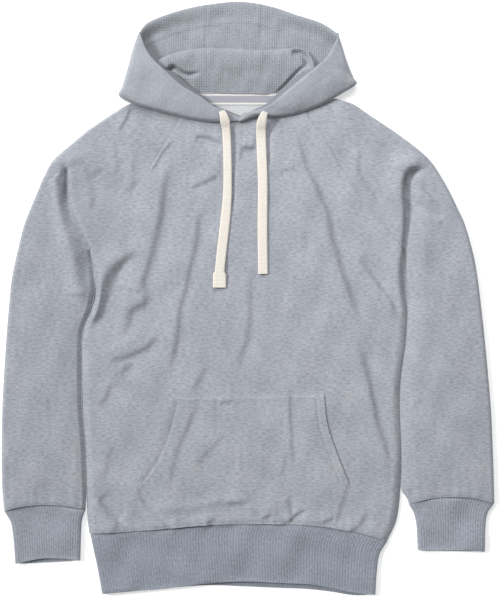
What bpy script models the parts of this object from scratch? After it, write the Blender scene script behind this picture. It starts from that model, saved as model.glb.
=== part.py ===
"""Pullover hoodie lying flat on its back: walls of cloth, one solid for each piece that is cut and sewn.

The frame is metres with +Z up. The cloth rests on z = 0, +Y runs from the hem to the hood, and +X is the
side that a viewer standing at the hem has on the right. The tables and sizes below are millimetres.
"""

import math
from collections import namedtuple

import bmesh
import bpy
from mathutils import Vector

MM = 0.001

# Cloth and how it lies
FLEECE = 2.0            # wall of the fleece panels
WAFFLE = 1.6            # wall of the hood's lining
RIB_CLOTH = 2.2         # wall of the rib bands, without the ribs
POCKET_CLOTH = 1.8      # wall of the pocket
TAPE = 1.0              # neck tape
TAPE_LIFT = 1.4         # the tape lies over the label's upper edge
LABEL = 0.7             # blank neck label
SEAM = 0.3              # space left between two pieces at a seam
FRONT_LIE = 8.0         # outer face of the front layer above the floor, between folds
LOWEST_LIE = 4.9        # the deepest trough still clears the back layer
SIDE_ROLL = 12.0        # width over which the front turns down to the back at a side seam
UNDERARM_EASE = 42.0    # length over which the armhole closes into the side seam
SLEEVE_FOLD_LIE = 4.0   # outer fold of a sleeve above the floor
SLEEVE_FOLD_ROLL = 6.0
SLEEVE_LEAST_LIE = 5.4  # a sleeve's top layer clears its floor layer
SLEEVE_INNER_LIE = 2.9  # the sleeve's fold beside the body
SLEEVE_INNER_ROLL = 3.0
SLEEVE_DIP = 2.6        # how far the sleeve sinks beside the body
SLEEVE_DIP_WIDTH = 16.0
SLEEVE_CLEARANCE = 0.8  # from the body's side to the sleeve beside it
SHOULDER_FOLD_Y = 109.0     # the point of a sleeve's outer fold that is opposite the underarm
CUFF_FREE = 9.0         # no row of a sleeve is nearer to its cuff
BAND_ROLL = 6.0         # side folds of the rib bands
HOOD_FOLD_ROLL = 16.0
HOOD_FLOOR_ROLL = 12.0
HOOD_LIP_ROLL = 14.0    # width over which the hood's back turns up into its rim
FLAP_LIE = 19.0         # a flap sinks from its rim towards this height
FLAP_CROWN = 2.5        # and bulges between its rim and its fold
FLAP_FULL_WIDTH = 60.0  # width at which the bulge is full
LINING_SIDE_INSET = 8.0
LINING_SIDE_LIE = 10.0  # the lining rises towards the hood's outer fold
LINING_SIDE_WIDTH = 22.0
LINING_RIM_INSET = 5.0
LINING_RIM_WIDTH = 24.0     # width over which it rises to the rim
HEM_LIES = (4.0, 4.0, 7.4, 8.0)     # a band's heights at its two sides, its seam and its edge
CUFF_LIES = (3.2, 4.0, 7.2, 7.0)
RIB_RELIEF = 0.5
HEM_RIBS = 100
CUFF_RIBS = 28
CORD_WIDTH = 14.0
CORD_THICKNESS = 2.6

UNDERARM_Y = 71.5
FRONT_NECK_Y = 280.0    # top of the front's raglan seams
BACK_NECK_Y = 296.0
HOOD_FOOT_Y = 297.2     # lower edge of the hood's back on the floor
NECK_DROP = 18.0        # the front neckline's drop at its middle
HOOD_FADE = 22.0        # length over which the front's folds fade out towards the hood
POCKET_CORNER_Y = -271.0

Sides = namedtuple("Sides", "y left right")
Seam = namedtuple("Seam", "part seam front back")
Fold = namedtuple("Fold", "kind height width path")
Flap = namedtuple("Flap", "station rim_x rim_y rim_z fold_x fold_y fold_z")
Rim = namedtuple("Rim", "x y z")
Level = namedtuple("Level", "y z")

# Side seams of the body, from the hem up to the underarms
BODY_SIDES = [
    Sides(-352, -229, 202), Sides(-320, -233, 216), Sides(-270, -235, 222), Sides(-218, -237, 223),
    Sides(-160, -241, 221), Sides(-118, -242, 222), Sides(-66, -242, 229), Sides(-41, -239, 231),
    Sides(-15, -229, 232), Sides(13, -223, 229), Sides(40, -225, 227), Sides(UNDERARM_Y, -229, 225),
]
# Raglan seams, from the underarms to the neck
RAGLANS = [
    Sides(UNDERARM_Y, -229, 225), Sides(98, -208, 205), Sides(126, -188, 181), Sides(164, -161, 153),
    Sides(192, -142, 136), Sides(229, -119, 115), Sides(251, -106, 99), Sides(FRONT_NECK_Y, -88, 80),
]
# Outer folds of the sleeves, from the cuffs to the neck
SLEEVE_FOLDS = [
    Sides(-307, -354, 358), Sides(-276, -357, 357.5), Sides(-227, -358, 356), Sides(-160, -357, 353),
    Sides(-100, -354, 348), Sides(-30, -349, 341), Sides(28, -343.5, 334), Sides(63, -336.5, 328),
    Sides(109, -325, 315), Sides(132, -316, 304.5), Sides(156, -306, 293), Sides(179, -296, 280),
    Sides(202, -283, 264), Sides(225, -257, 238), Sides(248, -229, 206), Sides(272, -193, 170),
    Sides(284, -171, 152), Sides(291.5, -141, 128),
]
# Lines that run up the front along the pocket's edges and on to the neck
POCKET_LINES = [
    Sides(POCKET_CORNER_Y, -169, 148), Sides(-232, -142, 132), Sides(-182, -122, 115),
    Sides(-138, -113, 110), Sides(-60, -108, 104), Sides(70, -98, 92), Sides(170, -75, 68),
    Sides(262, -45, 40),
]
POCKET_FOOT = Sides(-333, -146, 128)
POCKET_TOP = Sides(-138, -142, -133)      # y at its two upper corners in left and right

# Hem band: its seam, front edge and back edge across the width
HEM = [
    Seam(0.00, -340.5, -427.5, -427.5), Seam(0.12, -337.5, -423.0, -423.8),
    Seam(0.26, -333.0, -417.5, -419.0), Seam(0.39, -327.8, -412.0, -415.5),
    Seam(0.51, -326.0, -408.5, -417.0), Seam(0.63, -326.3, -410.5, -419.0),
    Seam(0.75, -328.5, -413.0, -421.0), Seam(0.84, -332.5, -418.5, -425.0),
    Seam(0.92, -339.5, -425.0, -430.0), Seam(1.00, -350.5, -428.5, -428.5),
]
HEM_SIDES = [Sides(0.0, -229, 202.5), Sides(0.25, -224.5, 191), Sides(0.6, -218, 187),
             Sides(1.0, -212, 185)]
# Cuffs, from the inner side to the outer side; the sides go from seam to edge
CUFF_LEFT = [
    Seam(0.00, -305.0, -379.0, -379.0), Seam(0.25, -300.0, -376.0, -381.0),
    Seam(0.55, -298.5, -375.5, -382.5), Seam(0.80, -301.5, -379.5, -383.8),
    Seam(1.00, -307.5, -384.0, -384.0),
]
CUFF_LEFT_SIDES = [Sides(0.0, -236, -354), Sides(0.2, -241, -345), Sides(0.5, -242.5, -341),
                   Sides(1.0, -243.6, -338)]
CUFF_RIGHT = [
    Seam(0.00, -297.0, -364.5, -364.5), Seam(0.25, -289.5, -363.5, -365.5),
    Seam(0.55, -287.0, -363.8, -366.0), Seam(0.80, -289.5, -365.0, -366.5),
    Seam(1.00, -296.5, -366.3, -366.3),
]
CUFF_RIGHT_SIDES = [Sides(0.0, 233.5, 357), Sides(0.2, 241, 348), Sides(0.5, 245, 345),
                    Sides(1.0, 246.5, 344)]

# The largest folds of the front layer. A soft one is a rounded ridge or trough, and a tuck stands up on
# the left of its path and dips on the right of it.
FOLDS = [
    Fold("tuck", 7.0, 9.0, [(-262, 196), (-263, 158), (-258, 129), (-246, 98), (-235, 72)]),
    Fold("soft", 4.0, 16.0, [(-288, 186), (-264, 206), (-246, 209), (-226, 196)]),
    Fold("soft", 4.0, 14.0, [(-246, 196), (-236, 160), (-222, 120), (-205, 84)]),
    Fold("tuck", 5.5, 9.0, [(226, 66), (229, 94), (226, 127), (228, 161), (236, 200)]),
    Fold("soft", -3.0, 8.0, [(248, 188), (231, 184), (212, 176)]),
    Fold("soft", 3.5, 14.0, [(256, 200), (232, 202), (208, 192)]),
    Fold("soft", -4.5, 11.0, [(-166, 70), (-194, 38), (-209, 0), (-220, -34), (-233, -42)]),
    Fold("soft", 5.5, 11.0, [(-196, 66), (-214, 28), (-222, -10), (-230, -34)]),
    Fold("soft", -3.2, 13.0, [(-110, 196), (-121, 147), (-128, 106), (-141, 52)]),
    Fold("soft", 2.4, 14.0, [(-92, 190), (-100, 140), (-108, 90)]),
    Fold("soft", -2.6, 11.0, [(-69, 124), (-75, 57), (-96, -4), (-104, -106)]),
    Fold("soft", -2.4, 10.0, [(-86, 160), (-50, 172)]),
    Fold("soft", -2.4, 11.0, [(-78, 242), (-38, 229)]),
    Fold("soft", -3.2, 13.0, [(74, 232), (88, 193), (99, 166), (114, 131), (126, 80)]),
    Fold("soft", 2.6, 15.0, [(116, 202), (134, 150), (150, 92)]),
    Fold("soft", -3.2, 12.0, [(164, -88), (184, -165), (207, -240)]),
    Fold("soft", 2.4, 13.0, [(146, -92), (166, -170), (186, -240)]),
    Fold("soft", -3.2, 13.0, [(-128, -56), (-174, -91), (-208, -150)]),
    Fold("soft", 3.0, 13.0, [(-132, -82), (-166, -122), (-190, -176)]),
    Fold("soft", -2.4, 10.0, [(-58, -100), (-81, -136)]),
    Fold("soft", -2.8, 12.0, [(-72, -142), (-104, -200), (-120, -236)]),
    Fold("soft", -2.4, 11.0, [(-32, -208), (-76, -258)]),
    Fold("soft", -3.0, 10.0, [(61, -120), (60, -220), (61, -330)]),
    Fold("soft", 2.2, 12.0, [(82, -130), (84, -230), (84, -320)]),
    Fold("soft", -2.4, 10.0, [(-30, -292), (12, -291)]),
    Fold("soft", -2.2, 13.0, [(-216, -244), (-190, -336)]),
]

# The hood's two front flaps: rim and outer fold, from the hood's top corner round to the tip at the neck
FLAP_LEFT = [
    Flap(0.0, -157, 385.0, 19.0, -157, 385.0, 19.0), Flap(1.0, -151, 378.0, 23.0, -162.5, 374.0, 13.5),
    Flap(2.0, -145, 362.0, 25.0, -168.0, 358.0, 11.0), Flap(3.0, -136, 348.5, 26.0, -173.0, 340.0, 10.0),
    Flap(4.0, -124, 334.0, 26.0, -178.0, 322.0, 9.6), Flap(5.0, -111, 322.5, 25.0, -182.5, 308.0, 9.4),
    Flap(6.0, -97, 313.5, 24.0, -187.0, 295.0, 9.4), Flap(7.0, -83, 304.0, 22.5, -168.5, 283.5, 9.4),
    Flap(8.0, -69, 291.5, 21.0, -140.0, 274.5, 9.4), Flap(9.0, -57, 283.5, 19.0, -112.0, 267.5, 9.4),
    Flap(10.0, -46, 276.0, 17.5, -86.0, 261.0, 9.6), Flap(11.0, -37, 270.0, 16.0, -62.0, 257.5, 10.0),
    Flap(12.0, -26, 264.5, 13.5, -40.0, 255.5, 10.5), Flap(13.0, -9, 263.0, 11.2, -11.0, 253.5, 10.8),
]
FLAP_RIGHT = [
    Flap(0.0, 130, 383.0, 19.0, 130.0, 383.0, 19.0), Flap(1.0, 128, 374.0, 23.0, 136.0, 367.0, 13.5),
    Flap(2.0, 121, 362.0, 25.0, 141.5, 350.0, 11.0), Flap(3.0, 112, 349.0, 26.0, 147.5, 334.0, 10.0),
    Flap(4.0, 99, 337.0, 26.0, 153.0, 321.0, 9.6), Flap(5.0, 82, 325.5, 25.0, 157.0, 311.5, 9.4),
    Flap(6.0, 63, 312.0, 24.0, 135.0, 297.5, 9.4), Flap(7.0, 47, 299.0, 22.5, 113.0, 285.0, 9.4),
    Flap(8.0, 33, 288.0, 21.0, 88.0, 274.5, 9.4), Flap(9.0, 19, 279.0, 19.0, 64.0, 267.5, 9.8),
    Flap(10.0, 6, 271.5, 17.5, 40.0, 264.5, 11.0), Flap(11.0, -6, 265.5, 15.5, 14.0, 258.0, 12.8),
    Flap(12.0, -15, 260.0, 14.2, -16.0, 253.0, 13.4),
]
LEFT_CORNER, RIGHT_CORNER = 6.0, 5.0      # the stations at the hood's two lower corners
# The hood's rim across its top, left to right
TOP_RIM = [
    Rim(-157, 385.0, 19.0), Rim(-147, 398.0, 17.0), Rim(-120, 411.0, 14.0), Rim(-84, 422.0, 11.5),
    Rim(-48, 428.5, 10.0), Rim(-10, 431.5, 9.5), Rim(33, 424.5, 10.0), Rim(68, 412.5, 12.0),
    Rim(107, 399.0, 15.0), Rim(130, 383.0, 19.0),
]
HOOD_SEAMS = (-59.5, 20.5)                # the centre panel's two seams
# The lining from the neck tape up to the rim: its lower part bulges over the upper at a level fold
LINING_RISE = [
    Level(298, 5.4), Level(312, 8.0), Level(332, 12.0), Level(350, 15.0), Level(358, 15.4),
    Level(362, 12.0), Level(365, 8.4), Level(374, 7.4), Level(388, 7.4), Level(404, 8.2), Level(432, 9.0),
]
LINING_FOLD = [Level(-175, 334), Level(-131, 344), Level(-84, 359), Level(0, 362), Level(70, 361),
               Level(93, 353), Level(140, 338)]    # the fold's y across the hood, x in the first column
LINING_FOLD_Y = 362.0
# Lower edge of the hood over the shoulders: folds fade out as they reach it
HOOD_HEM = [Level(-187, 295), Level(-132, 273), Level(-90, 261), Level(-15, 253), Level(52, 264),
            Level(85, 273), Level(126, 292), Level(157, 312)]

TAPE_BOX = (-82.0, 52.0, 282.5, 298.0)    # left, right, bottom, top
LABEL_BOX = (-49.0, 19.0, 254.0, 281.9)

Route = namedtuple("Route", "x y z width")
# The drawcords from where they leave the casing to their free ends
CORD_LEFT = [
    Route(-38.0, 272.0, 19.0, 8), Route(-35.0, 264.0, 18.4, 12), Route(-33.0, 256.0, 16.0, 14),
    Route(-31.8, 247.0, 12.0, 14), Route(-30.8, 232.0, 10.0, 14), Route(-29.8, 202.0, 9.9, 14),
    Route(-29.6, 172.0, 9.9, 14), Route(-30.4, 144.0, 9.9, 14), Route(-33.0, 115.0, 9.9, 14),
    Route(-36.2, 86.0, 9.9, 14), Route(-39.4, 58.0, 9.9, 14), Route(-41.0, 41.0, 9.9, 14),
    Route(-41.3, 35.0, 9.9, 19), Route(-41.4, 17.0, 9.9, 19),
]
CORD_RIGHT = [
    Route(25.0, 270.0, 22.3, 8), Route(21.5, 262.0, 20.0, 12), Route(19.2, 253.0, 16.8, 14),
    Route(18.8, 243.0, 12.2, 14), Route(19.2, 228.0, 10.0, 14), Route(20.2, 202.0, 9.9, 14),
    Route(21.2, 172.0, 9.9, 14), Route(21.2, 144.0, 9.9, 14), Route(21.0, 115.0, 9.9, 14),
    Route(21.0, 86.0, 9.9, 14), Route(21.4, 58.0, 9.9, 14), Route(21.8, 37.0, 9.9, 14),
]

# How finely the pieces are divided
SIDE_PARTS = (0.0, 0.012, 0.04, 0.1, 0.22, 0.42, 0.7)   # columns from a side to the pocket's line
POCKET_COLUMNS = 10
BANDS = (3, 7, 10, 8)         # rows from hem to pocket corner, pocket top, underarm and neck
BACK_PARTS = (0.0, 0.05, 0.12, 0.26, 0.39, 0.51, 0.63, 0.75, 0.84, 0.92, 0.96, 1.0)
HEM_FLOOR_PARTS = (0.992, 0.98) + tuple(reversed(BACK_PARTS[1:-1])) + (0.02, 0.008, 0.0)
SLEEVE_STEPS = (0.0, 1.0, 3.2, 8.0)       # columns beside a sleeve's folds, by their distance
SLEEVE_MIDDLE = (0.16, 0.33, 0.5, 0.67, 0.84)
FLOOR_STEPS = (0.0, 1.2, 5.0)
FLOOR_MIDDLE = (0.33, 0.67)
FLAP_STEPS = (0.0, 1.5, 4.5, 10.0)         # rows beside the hood's outer fold, by their distance
FLAP_MIDDLE = (0.35, 0.7, 1.0)
CORD_SIDES = 8
NARROW = 45.0       # pieces narrower than this have closer steps beside their folds
FLAP_NARROW = 28.0

FLEECE_COLOUR = (0.38, 0.40, 0.46)
RIB_COLOUR = (0.28, 0.30, 0.35)
WAFFLE_COLOUR = (0.36, 0.38, 0.43)
TAPE_COLOUR = (0.55, 0.55, 0.55)
LABEL_COLOUR = (0.80, 0.80, 0.80)
CORD_COLOUR = (0.84, 0.79, 0.72)


def mix(start, end, part):
    return start + (end - start) * part


def ease(value):
    """0 below 0, 1 above 1 and a smooth rise between."""
    value = min(max(value, 0.0), 1.0)
    return value * value * (3.0 - 2.0 * value)


def roll(distance, width):
    """A quarter circle's height over its width: 0 at the edge and 1 from `width` on."""
    part = min(max(distance / width, 0.0), 1.0)
    return math.sqrt(1.0 - (1.0 - part) ** 2)


def read(table, key, column):
    """A column's value at a key between the table's rows, on a smooth curve through them."""
    last = len(table) - 1
    if key <= table[0][0]:
        return getattr(table[0], column)
    if key >= table[last][0]:
        return getattr(table[last], column)
    row = max(index for index in range(last) if table[index][0] <= key)
    keys = [table[index][0] for index in range(len(table))]
    values = [getattr(entry, column) for entry in table]
    span = keys[row + 1] - keys[row]

    def slope(index):
        before, after = max(index - 1, 0), min(index + 1, last)
        return (values[after] - values[before]) / (keys[after] - keys[before])

    part = (key - keys[row]) / span
    rise = part * part * (3.0 - 2.0 * part)
    leave = part * (1.0 - part) ** 2 * span * slope(row)
    arrive = part * part * (part - 1.0) * span * slope(row + 1)
    return mix(values[row], values[row + 1], rise) + leave + arrive


def nearest(path, x, y):
    """Signed distance from a path, positive on its left, and how far along it the nearest point is."""
    best = (1e9, 0.0, 0.0)
    for index in range(len(path) - 1):
        (ax, ay), (bx, by) = path[index], path[index + 1]
        dx, dy = bx - ax, by - ay
        part = ((x - ax) * dx + (y - ay) * dy) / (dx * dx + dy * dy)
        part = min(max(part, 0.0), 1.0)
        away = math.hypot(x - ax - dx * part, y - ay - dy * part)
        if away < best[0]:
            side = 1.0 if dx * (y - ay) - dy * (x - ax) > 0 else -1.0
            best = (away, side, (index + part) / (len(path) - 1))
    return best[0] * best[1], best[2]


def fold_relief(x, y):
    """How far the folds lift or lower the front layer at a place."""
    total = 0.0
    for fold in FOLDS:
        distance, along = nearest(fold.path, x, y)
        if abs(distance) > 3.0 * fold.width:
            continue
        height = fold.height * ease(along / 0.25) * ease((1.0 - along) / 0.25)
        part = distance / fold.width
        if fold.kind == "soft":
            total += height * math.exp(-part * part)
        else:
            lift = part * math.exp(0.5 - 0.5 * part * part)
            total += height * (lift if lift > 0 else 0.4 * lift)
    return total


def lie(x, y):
    """Height of the outer face of the garment's front layer at a place."""
    below_hood = ease((read(HOOD_HEM, x, "z") - y) / HOOD_FADE)
    return max(FRONT_LIE + below_hood * fold_relief(x, y), LOWEST_LIE)


def side_x(side, y):
    return read(BODY_SIDES if y < UNDERARM_Y else RAGLANS, y, side)


def pocket_x(side, y):
    if y < POCKET_CORNER_Y:
        part = (y - POCKET_FOOT.y) / (POCKET_CORNER_Y - POCKET_FOOT.y)
        return mix(getattr(POCKET_FOOT, side), getattr(POCKET_LINES[0], side), part)
    return read(POCKET_LINES, y, side)


# ---- building walls from sheets of points

def add_sheet(mesh, rows):
    """Adds a sheet of four-sided faces through rows of points."""
    verts = [[mesh.verts.new(point) for point in row] for row in rows]
    for row in range(len(rows) - 1):
        for column in range(len(rows[0]) - 1):
            mesh.faces.new((verts[row][column], verts[row][column + 1],
                            verts[row + 1][column + 1], verts[row + 1][column]))


def thicken(mesh, thickness, ways=None, ribs=None, square=None):
    """Makes a sheet the outer face of a closed wall.

    `ways` lead from the outer to the inner face where they aren't the faces' own normals, `square` gives
    the axes that a cut edge's way keeps, and `ribs` lifts chosen outer points afterwards.
    """
    if ways is None:
        bmesh.ops.remove_doubles(mesh, verts=mesh.verts, dist=0.01)
    mesh.normal_update()
    faces, edges = list(mesh.faces), [edge for edge in mesh.edges if edge.is_boundary]
    inner, raised = {}, []
    for index, vert in enumerate(list(mesh.verts)):
        step = ways[index] if ways else -vert.normal
        if square and vert.is_boundary:
            step = (step * square(vert.co)).normalized()
        inner[vert] = mesh.verts.new(vert.co + step * thickness)
        if ribs:
            raised.append((vert, vert.normal * ribs(vert.co)))
    for face in faces:
        first, *rest = face.verts
        mesh.faces.new([inner[first]] + [inner[vert] for vert in reversed(rest)])
    for edge in edges:
        one, two = sorted(edge.verts, key=lambda vert: vert.co.y)
        mesh.faces.new((one, two, inner[two], inner[one]))
    for vert, step in raised:
        vert.co += step
    bmesh.ops.recalc_face_normals(mesh, faces=mesh.faces)
    bmesh.ops.triangulate(mesh, faces=mesh.faces, quad_method="FIXED")


def make_object(name, mesh, material):
    """Turns a bmesh in millimetres into an object in metres."""
    bmesh.ops.scale(mesh, vec=(MM, MM, MM), verts=mesh.verts)
    data = bpy.data.meshes.new(name)
    mesh.to_mesh(data)
    mesh.free()
    data.materials.append(material)
    data.shade_smooth()
    part = bpy.data.objects.new(name, data)
    bpy.context.collection.objects.link(part)
    return part


def make_material(name, colour, roughness):
    material = bpy.data.materials.new(name)
    material.use_nodes = True
    shader = material.node_tree.nodes["Principled BSDF"]
    shader.inputs["Base Color"].default_value = (*colour, 1.0)
    shader.inputs["Roughness"].default_value = roughness
    shader.inputs["Metallic"].default_value = 0.0
    return material


def seam_axes(place):
    """A wall's cut edge keeps its way's x and z, and only its x at a sleeve's inner fold."""
    return Vector((1.0, 0.0, 1.0 if abs(place.z - SLEEVE_INNER_LIE) > 0.01 else 0.0))


def wall(name, rows, thickness, material, ways=None, ribs=None):
    mesh = bmesh.new()
    add_sheet(mesh, rows)
    if ways:
        ways = [step for row in ways for step in row]
    thicken(mesh, thickness, ways, ribs, None if ways else seam_axes)
    return make_object(name, mesh, material)


def straight(rows, z):
    """The same way up or down for each point of the rows."""
    return [[Vector((0.0, 0.0, z))] * len(row) for row in rows]


# ---- body

def body_columns():
    """The front's columns: the zone between two lines, and the part of its width."""
    left = [(0, part) for part in SIDE_PARTS]
    middle = [(1, index / POCKET_COLUMNS) for index in range(POCKET_COLUMNS)]
    right = [(2, 1.0 - part) for part in reversed(SIDE_PARTS)]
    return left + middle + [(2, 0.0)] + right


def column_x(columns, heights):
    """Each column's x, given its y."""
    first, second = len(SIDE_PARTS), len(SIDE_PARTS) + POCKET_COLUMNS
    lines = (side_x("left", heights[0]), pocket_x("left", heights[first]),
             pocket_x("right", heights[second]), side_x("right", heights[-1]))
    return [mix(lines[zone], lines[zone + 1], part) for zone, part in columns]


def hem_seam_y(x):
    part = (x - HEM_SIDES[0].left) / (HEM_SIDES[0].right - HEM_SIDES[0].left)
    return read(HEM, part, "seam")


def front_plan():
    """Rows of plan points for the front, hem to neck."""
    columns = body_columns()
    count = len(columns)
    places = [index / (count - 1) for index in range(count)]
    foot = [hem_seam_y(0.0)] * count
    for _ in range(6):
        foot = [hem_seam_y(x) + SEAM / 2 for x in column_x(columns, foot)]
    keys = [
        foot,
        [POCKET_CORNER_Y] * count,
        [mix(POCKET_TOP.left, POCKET_TOP.right, ease(place)) for place in places],
        [UNDERARM_Y] * count,
        [FRONT_NECK_Y - NECK_DROP * (1.0 - (2.0 * place - 1.0) ** 2) for place in places],
    ]
    rows = []
    for band, steps in enumerate(BANDS):
        for step in range(steps if band < len(BANDS) - 1 else steps + 1):
            heights = [mix(low, high, step / steps) for low, high in zip(keys[band], keys[band + 1])]
            rows.append(list(zip(column_x(columns, heights), heights)))
    return rows


def closing(y):
    """0 at the underarm, where the armhole is open, and 1 where the side seam has closed."""
    return ease((UNDERARM_Y - y) / UNDERARM_EASE)


def front_points(plan):
    """The front's outer points, and the way from each to the wall's inner face."""
    rows, ways = [], []
    for row in plan:
        left, right = row[0][0], row[-1][0]
        points, steps = [], []
        for x, y in row:
            sign = 1.0 if x - left < right - x else -1.0
            near = min(x - left, right - x)
            turned = closing(y) * max(1.0 - near / SIDE_ROLL, 0.0)
            height = mix(lie(x, y), FLEECE + 2.0 * SEAM, closing(y) * (1.0 - roll(near, SIDE_ROLL)))
            if y > UNDERARM_Y and near < 0.1:
                x += sign * SEAM / 2
            points.append(Vector((x, y, height)))
            steps.append(Vector((sign * turned, 0.0, -math.sqrt(1.0 - turned * turned))))
        rows.append(points)
        ways.append(steps)
    return rows, ways


def back_points(plan):
    """The back is flat on the floor, and its raglan seams reach on to the back neck."""
    rows = []
    yoke = BANDS[-1]
    for index, row in enumerate(plan):
        (left, left_y), (right, right_y) = row[0], row[-1]
        level = index - (len(plan) - 1 - yoke)
        if level > 0:
            left_y = right_y = mix(UNDERARM_Y, BACK_NECK_Y, level / yoke)
            left = back_raglan_x("left", left_y) + SEAM / 2
            right = back_raglan_x("right", right_y) - SEAM / 2
        points = [Vector((mix(left, right, part), mix(left_y, right_y, part), 0.0)) for part in BACK_PARTS]
        if index == 0:
            for point in points:
                point.y = hem_seam_y(point.x) + SEAM / 2
        rows.append(points)
    return rows


def back_raglan_x(side, y):
    """The back's raglan seam follows the front's and goes on up to the back neck."""
    reach = (y - UNDERARM_Y) / (BACK_NECK_Y - UNDERARM_Y)
    return read(RAGLANS, mix(UNDERARM_Y, FRONT_NECK_Y, reach), side)


# ---- sleeves and rib bands

def sleeve_rows(side, plan, cuff, cuff_sides):
    """Rows round a sleeve, cuff to neck: the top layer out to the fold, then the floor layer back."""
    sign = -1.0 if side == "left" else 1.0
    edge = 0 if side == "left" else -1
    yoke = BANDS[-1]
    under = len(plan) - 1 - yoke
    cuff_in, cuff_out = cuff_sides[0].left, cuff_sides[0].right
    seam_in, seam_out = cuff[0].seam, cuff[-1].seam
    rows = [sleeve_ring((cuff_in, seam_in), (cuff_out, seam_out), (cuff_in, seam_in), 1.0, cuff, 1.0)]
    for y in [row[edge][1] for row in plan[:under] if row[edge][1] > seam_in + CUFF_FREE]:
        down = (UNDERARM_Y - y) / (UNDERARM_Y - seam_in)
        inner = (side_x(side, y) + sign * SLEEVE_CLEARANCE, y)
        outer_y = mix(SHOULDER_FOLD_Y, seam_out, down)
        outer = (read(SLEEVE_FOLDS, outer_y, side), outer_y)
        rows.append(sleeve_ring(inner, outer, inner, 1.0, cuff, ease((down - 0.8) / 0.2)))
    for level in range(yoke + 1):
        reach = level / yoke
        gap = sign * (SEAM / 2 if level else SLEEVE_CLEARANCE)
        front_y = mix(UNDERARM_Y, FRONT_NECK_Y, reach)
        back_y = mix(UNDERARM_Y, BACK_NECK_Y, reach)
        rise = mix(math.sin(reach * math.pi / 2), reach, 0.35)
        outer_y = mix(SHOULDER_FOLD_Y, SLEEVE_FOLDS[-1].y, rise)
        outer = (read(SLEEVE_FOLDS, outer_y, side), outer_y)
        front = (side_x(side, front_y) + gap, front_y)
        back = (back_raglan_x(side, back_y) + gap, back_y)
        rows.append(sleeve_ring(front, outer, back, 0.0, cuff, 0.0))
    return rows


def spread(steps, middle, width):
    """Parts of a width: steps from its start, the middle and the same steps before its end."""
    scale = min(1.0, width / NARROW)
    start = [step * scale / width for step in steps]
    inside = [mix(start[-1], 1.0 - start[-1], part) for part in middle]
    return start + inside + [1.0 - part for part in reversed(start)]


def sleeve_ring(inner, outer, back, closed, cuff, bow):
    """One row round a sleeve. `closed` is 1 below the underarm, and `bow` bends the row to the cuff."""
    points = []
    width = math.dist(inner, outer)
    for part in spread(SLEEVE_STEPS, SLEEVE_MIDDLE, width):
        x, y = mix(inner[0], outer[0], part), mix(inner[1], outer[1], part)
        y += bow * (read(cuff, part, "seam") - mix(cuff[0].seam, cuff[-1].seam, part) + SEAM / 2)
        inward = part * width
        outward = (1.0 - part) * width
        top = lie(x, y) - SLEEVE_DIP * closed * math.exp(-(inward / SLEEVE_DIP_WIDTH) ** 2)
        top = mix(SLEEVE_FOLD_LIE, max(top, SLEEVE_LEAST_LIE), roll(outward, SLEEVE_FOLD_ROLL))
        if closed:
            top = mix(SLEEVE_INNER_LIE, top, roll(inward, SLEEVE_INNER_ROLL))
        points.append(Vector((x, y, top)))
    width = math.dist(back, outer)
    for part in reversed(spread(FLOOR_STEPS, FLOOR_MIDDLE, width)[:-1]):
        x, y = mix(back[0], outer[0], part), mix(back[1], outer[1], part)
        y += bow * (read(cuff, part, "seam") - mix(cuff[0].seam, cuff[-1].seam, part) + SEAM / 2)
        up = SLEEVE_FOLD_LIE * (1.0 - roll((1.0 - part) * width, SLEEVE_FOLD_ROLL))
        if closed:
            up = max(up, SLEEVE_INNER_LIE * (1.0 - roll(part * width, SLEEVE_INNER_ROLL)))
        points.append(Vector((x, y, up)))
    return points


def band_rows(table, sides, ribs, lies, steps, floor_parts=None):
    """Rows round a flattened rib band. `lies` are its heights at the two sides, the seam and the edge."""
    side_one, side_two, seam_lie, edge_lie = lies
    rows = []
    for step in range(steps + 1):
        down = step / steps
        one, two = read(sides, down, "left"), read(sides, down, "right")
        width = abs(two - one)
        height = mix(seam_lie, edge_lie, down)
        points = []
        for index in range(2 * ribs + 1):
            part = index / (2 * ribs)
            gap = -1.5 * SEAM if step == 0 else 0.0
            y = mix(read(table, part, "seam") + gap, read(table, part, "front"), down)
            low = mix(side_one, height, roll(part * width, BAND_ROLL))
            top = mix(side_two, low, roll((1.0 - part) * width, BAND_ROLL))
            points.append(Vector((mix(one, two, part), y, top)))
        for part in floor_parts or reversed(spread(FLOOR_STEPS, FLOOR_MIDDLE, width)[:-1]):
            gap = -1.5 * SEAM if step == 0 else 0.0
            y = mix(read(table, part, "seam") + gap, read(table, part, "back"), down)
            up = side_one * (1.0 - roll(part * width, BAND_ROLL))
            up = max(up, side_two * (1.0 - roll((1.0 - part) * width, BAND_ROLL)))
            points.append(Vector((mix(one, two, part), y, up)))
        rows.append(points)
    return rows


def ribs_on(rows, ribs, rim):
    """Tells how far each outer point of a band stands up: every second column of its top layer."""
    lifted = set()
    for row in rows:
        for index in range(1 + 2 * rim, 2 * (ribs - rim), 2):
            lifted.add(row[index].copy().freeze())
    return lambda place: RIB_RELIEF if place.copy().freeze() in lifted else 0.0


# ---- hood

def flap_station(table, station):
    names = ("rim_x", "rim_y", "rim_z", "fold_x", "fold_y", "fold_z")
    values = [read(table, station, name) for name in names]
    return Vector(values[:3]), Vector(values[3:])


def flap_parts(steps):
    """Parts of a flap's width from its rim to its fold."""
    inside = [mix(1.0, steps[-1], part) for part in FLAP_MIDDLE[:-1]]
    return [1.0 - part for part in inside + list(reversed(steps))]


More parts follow.
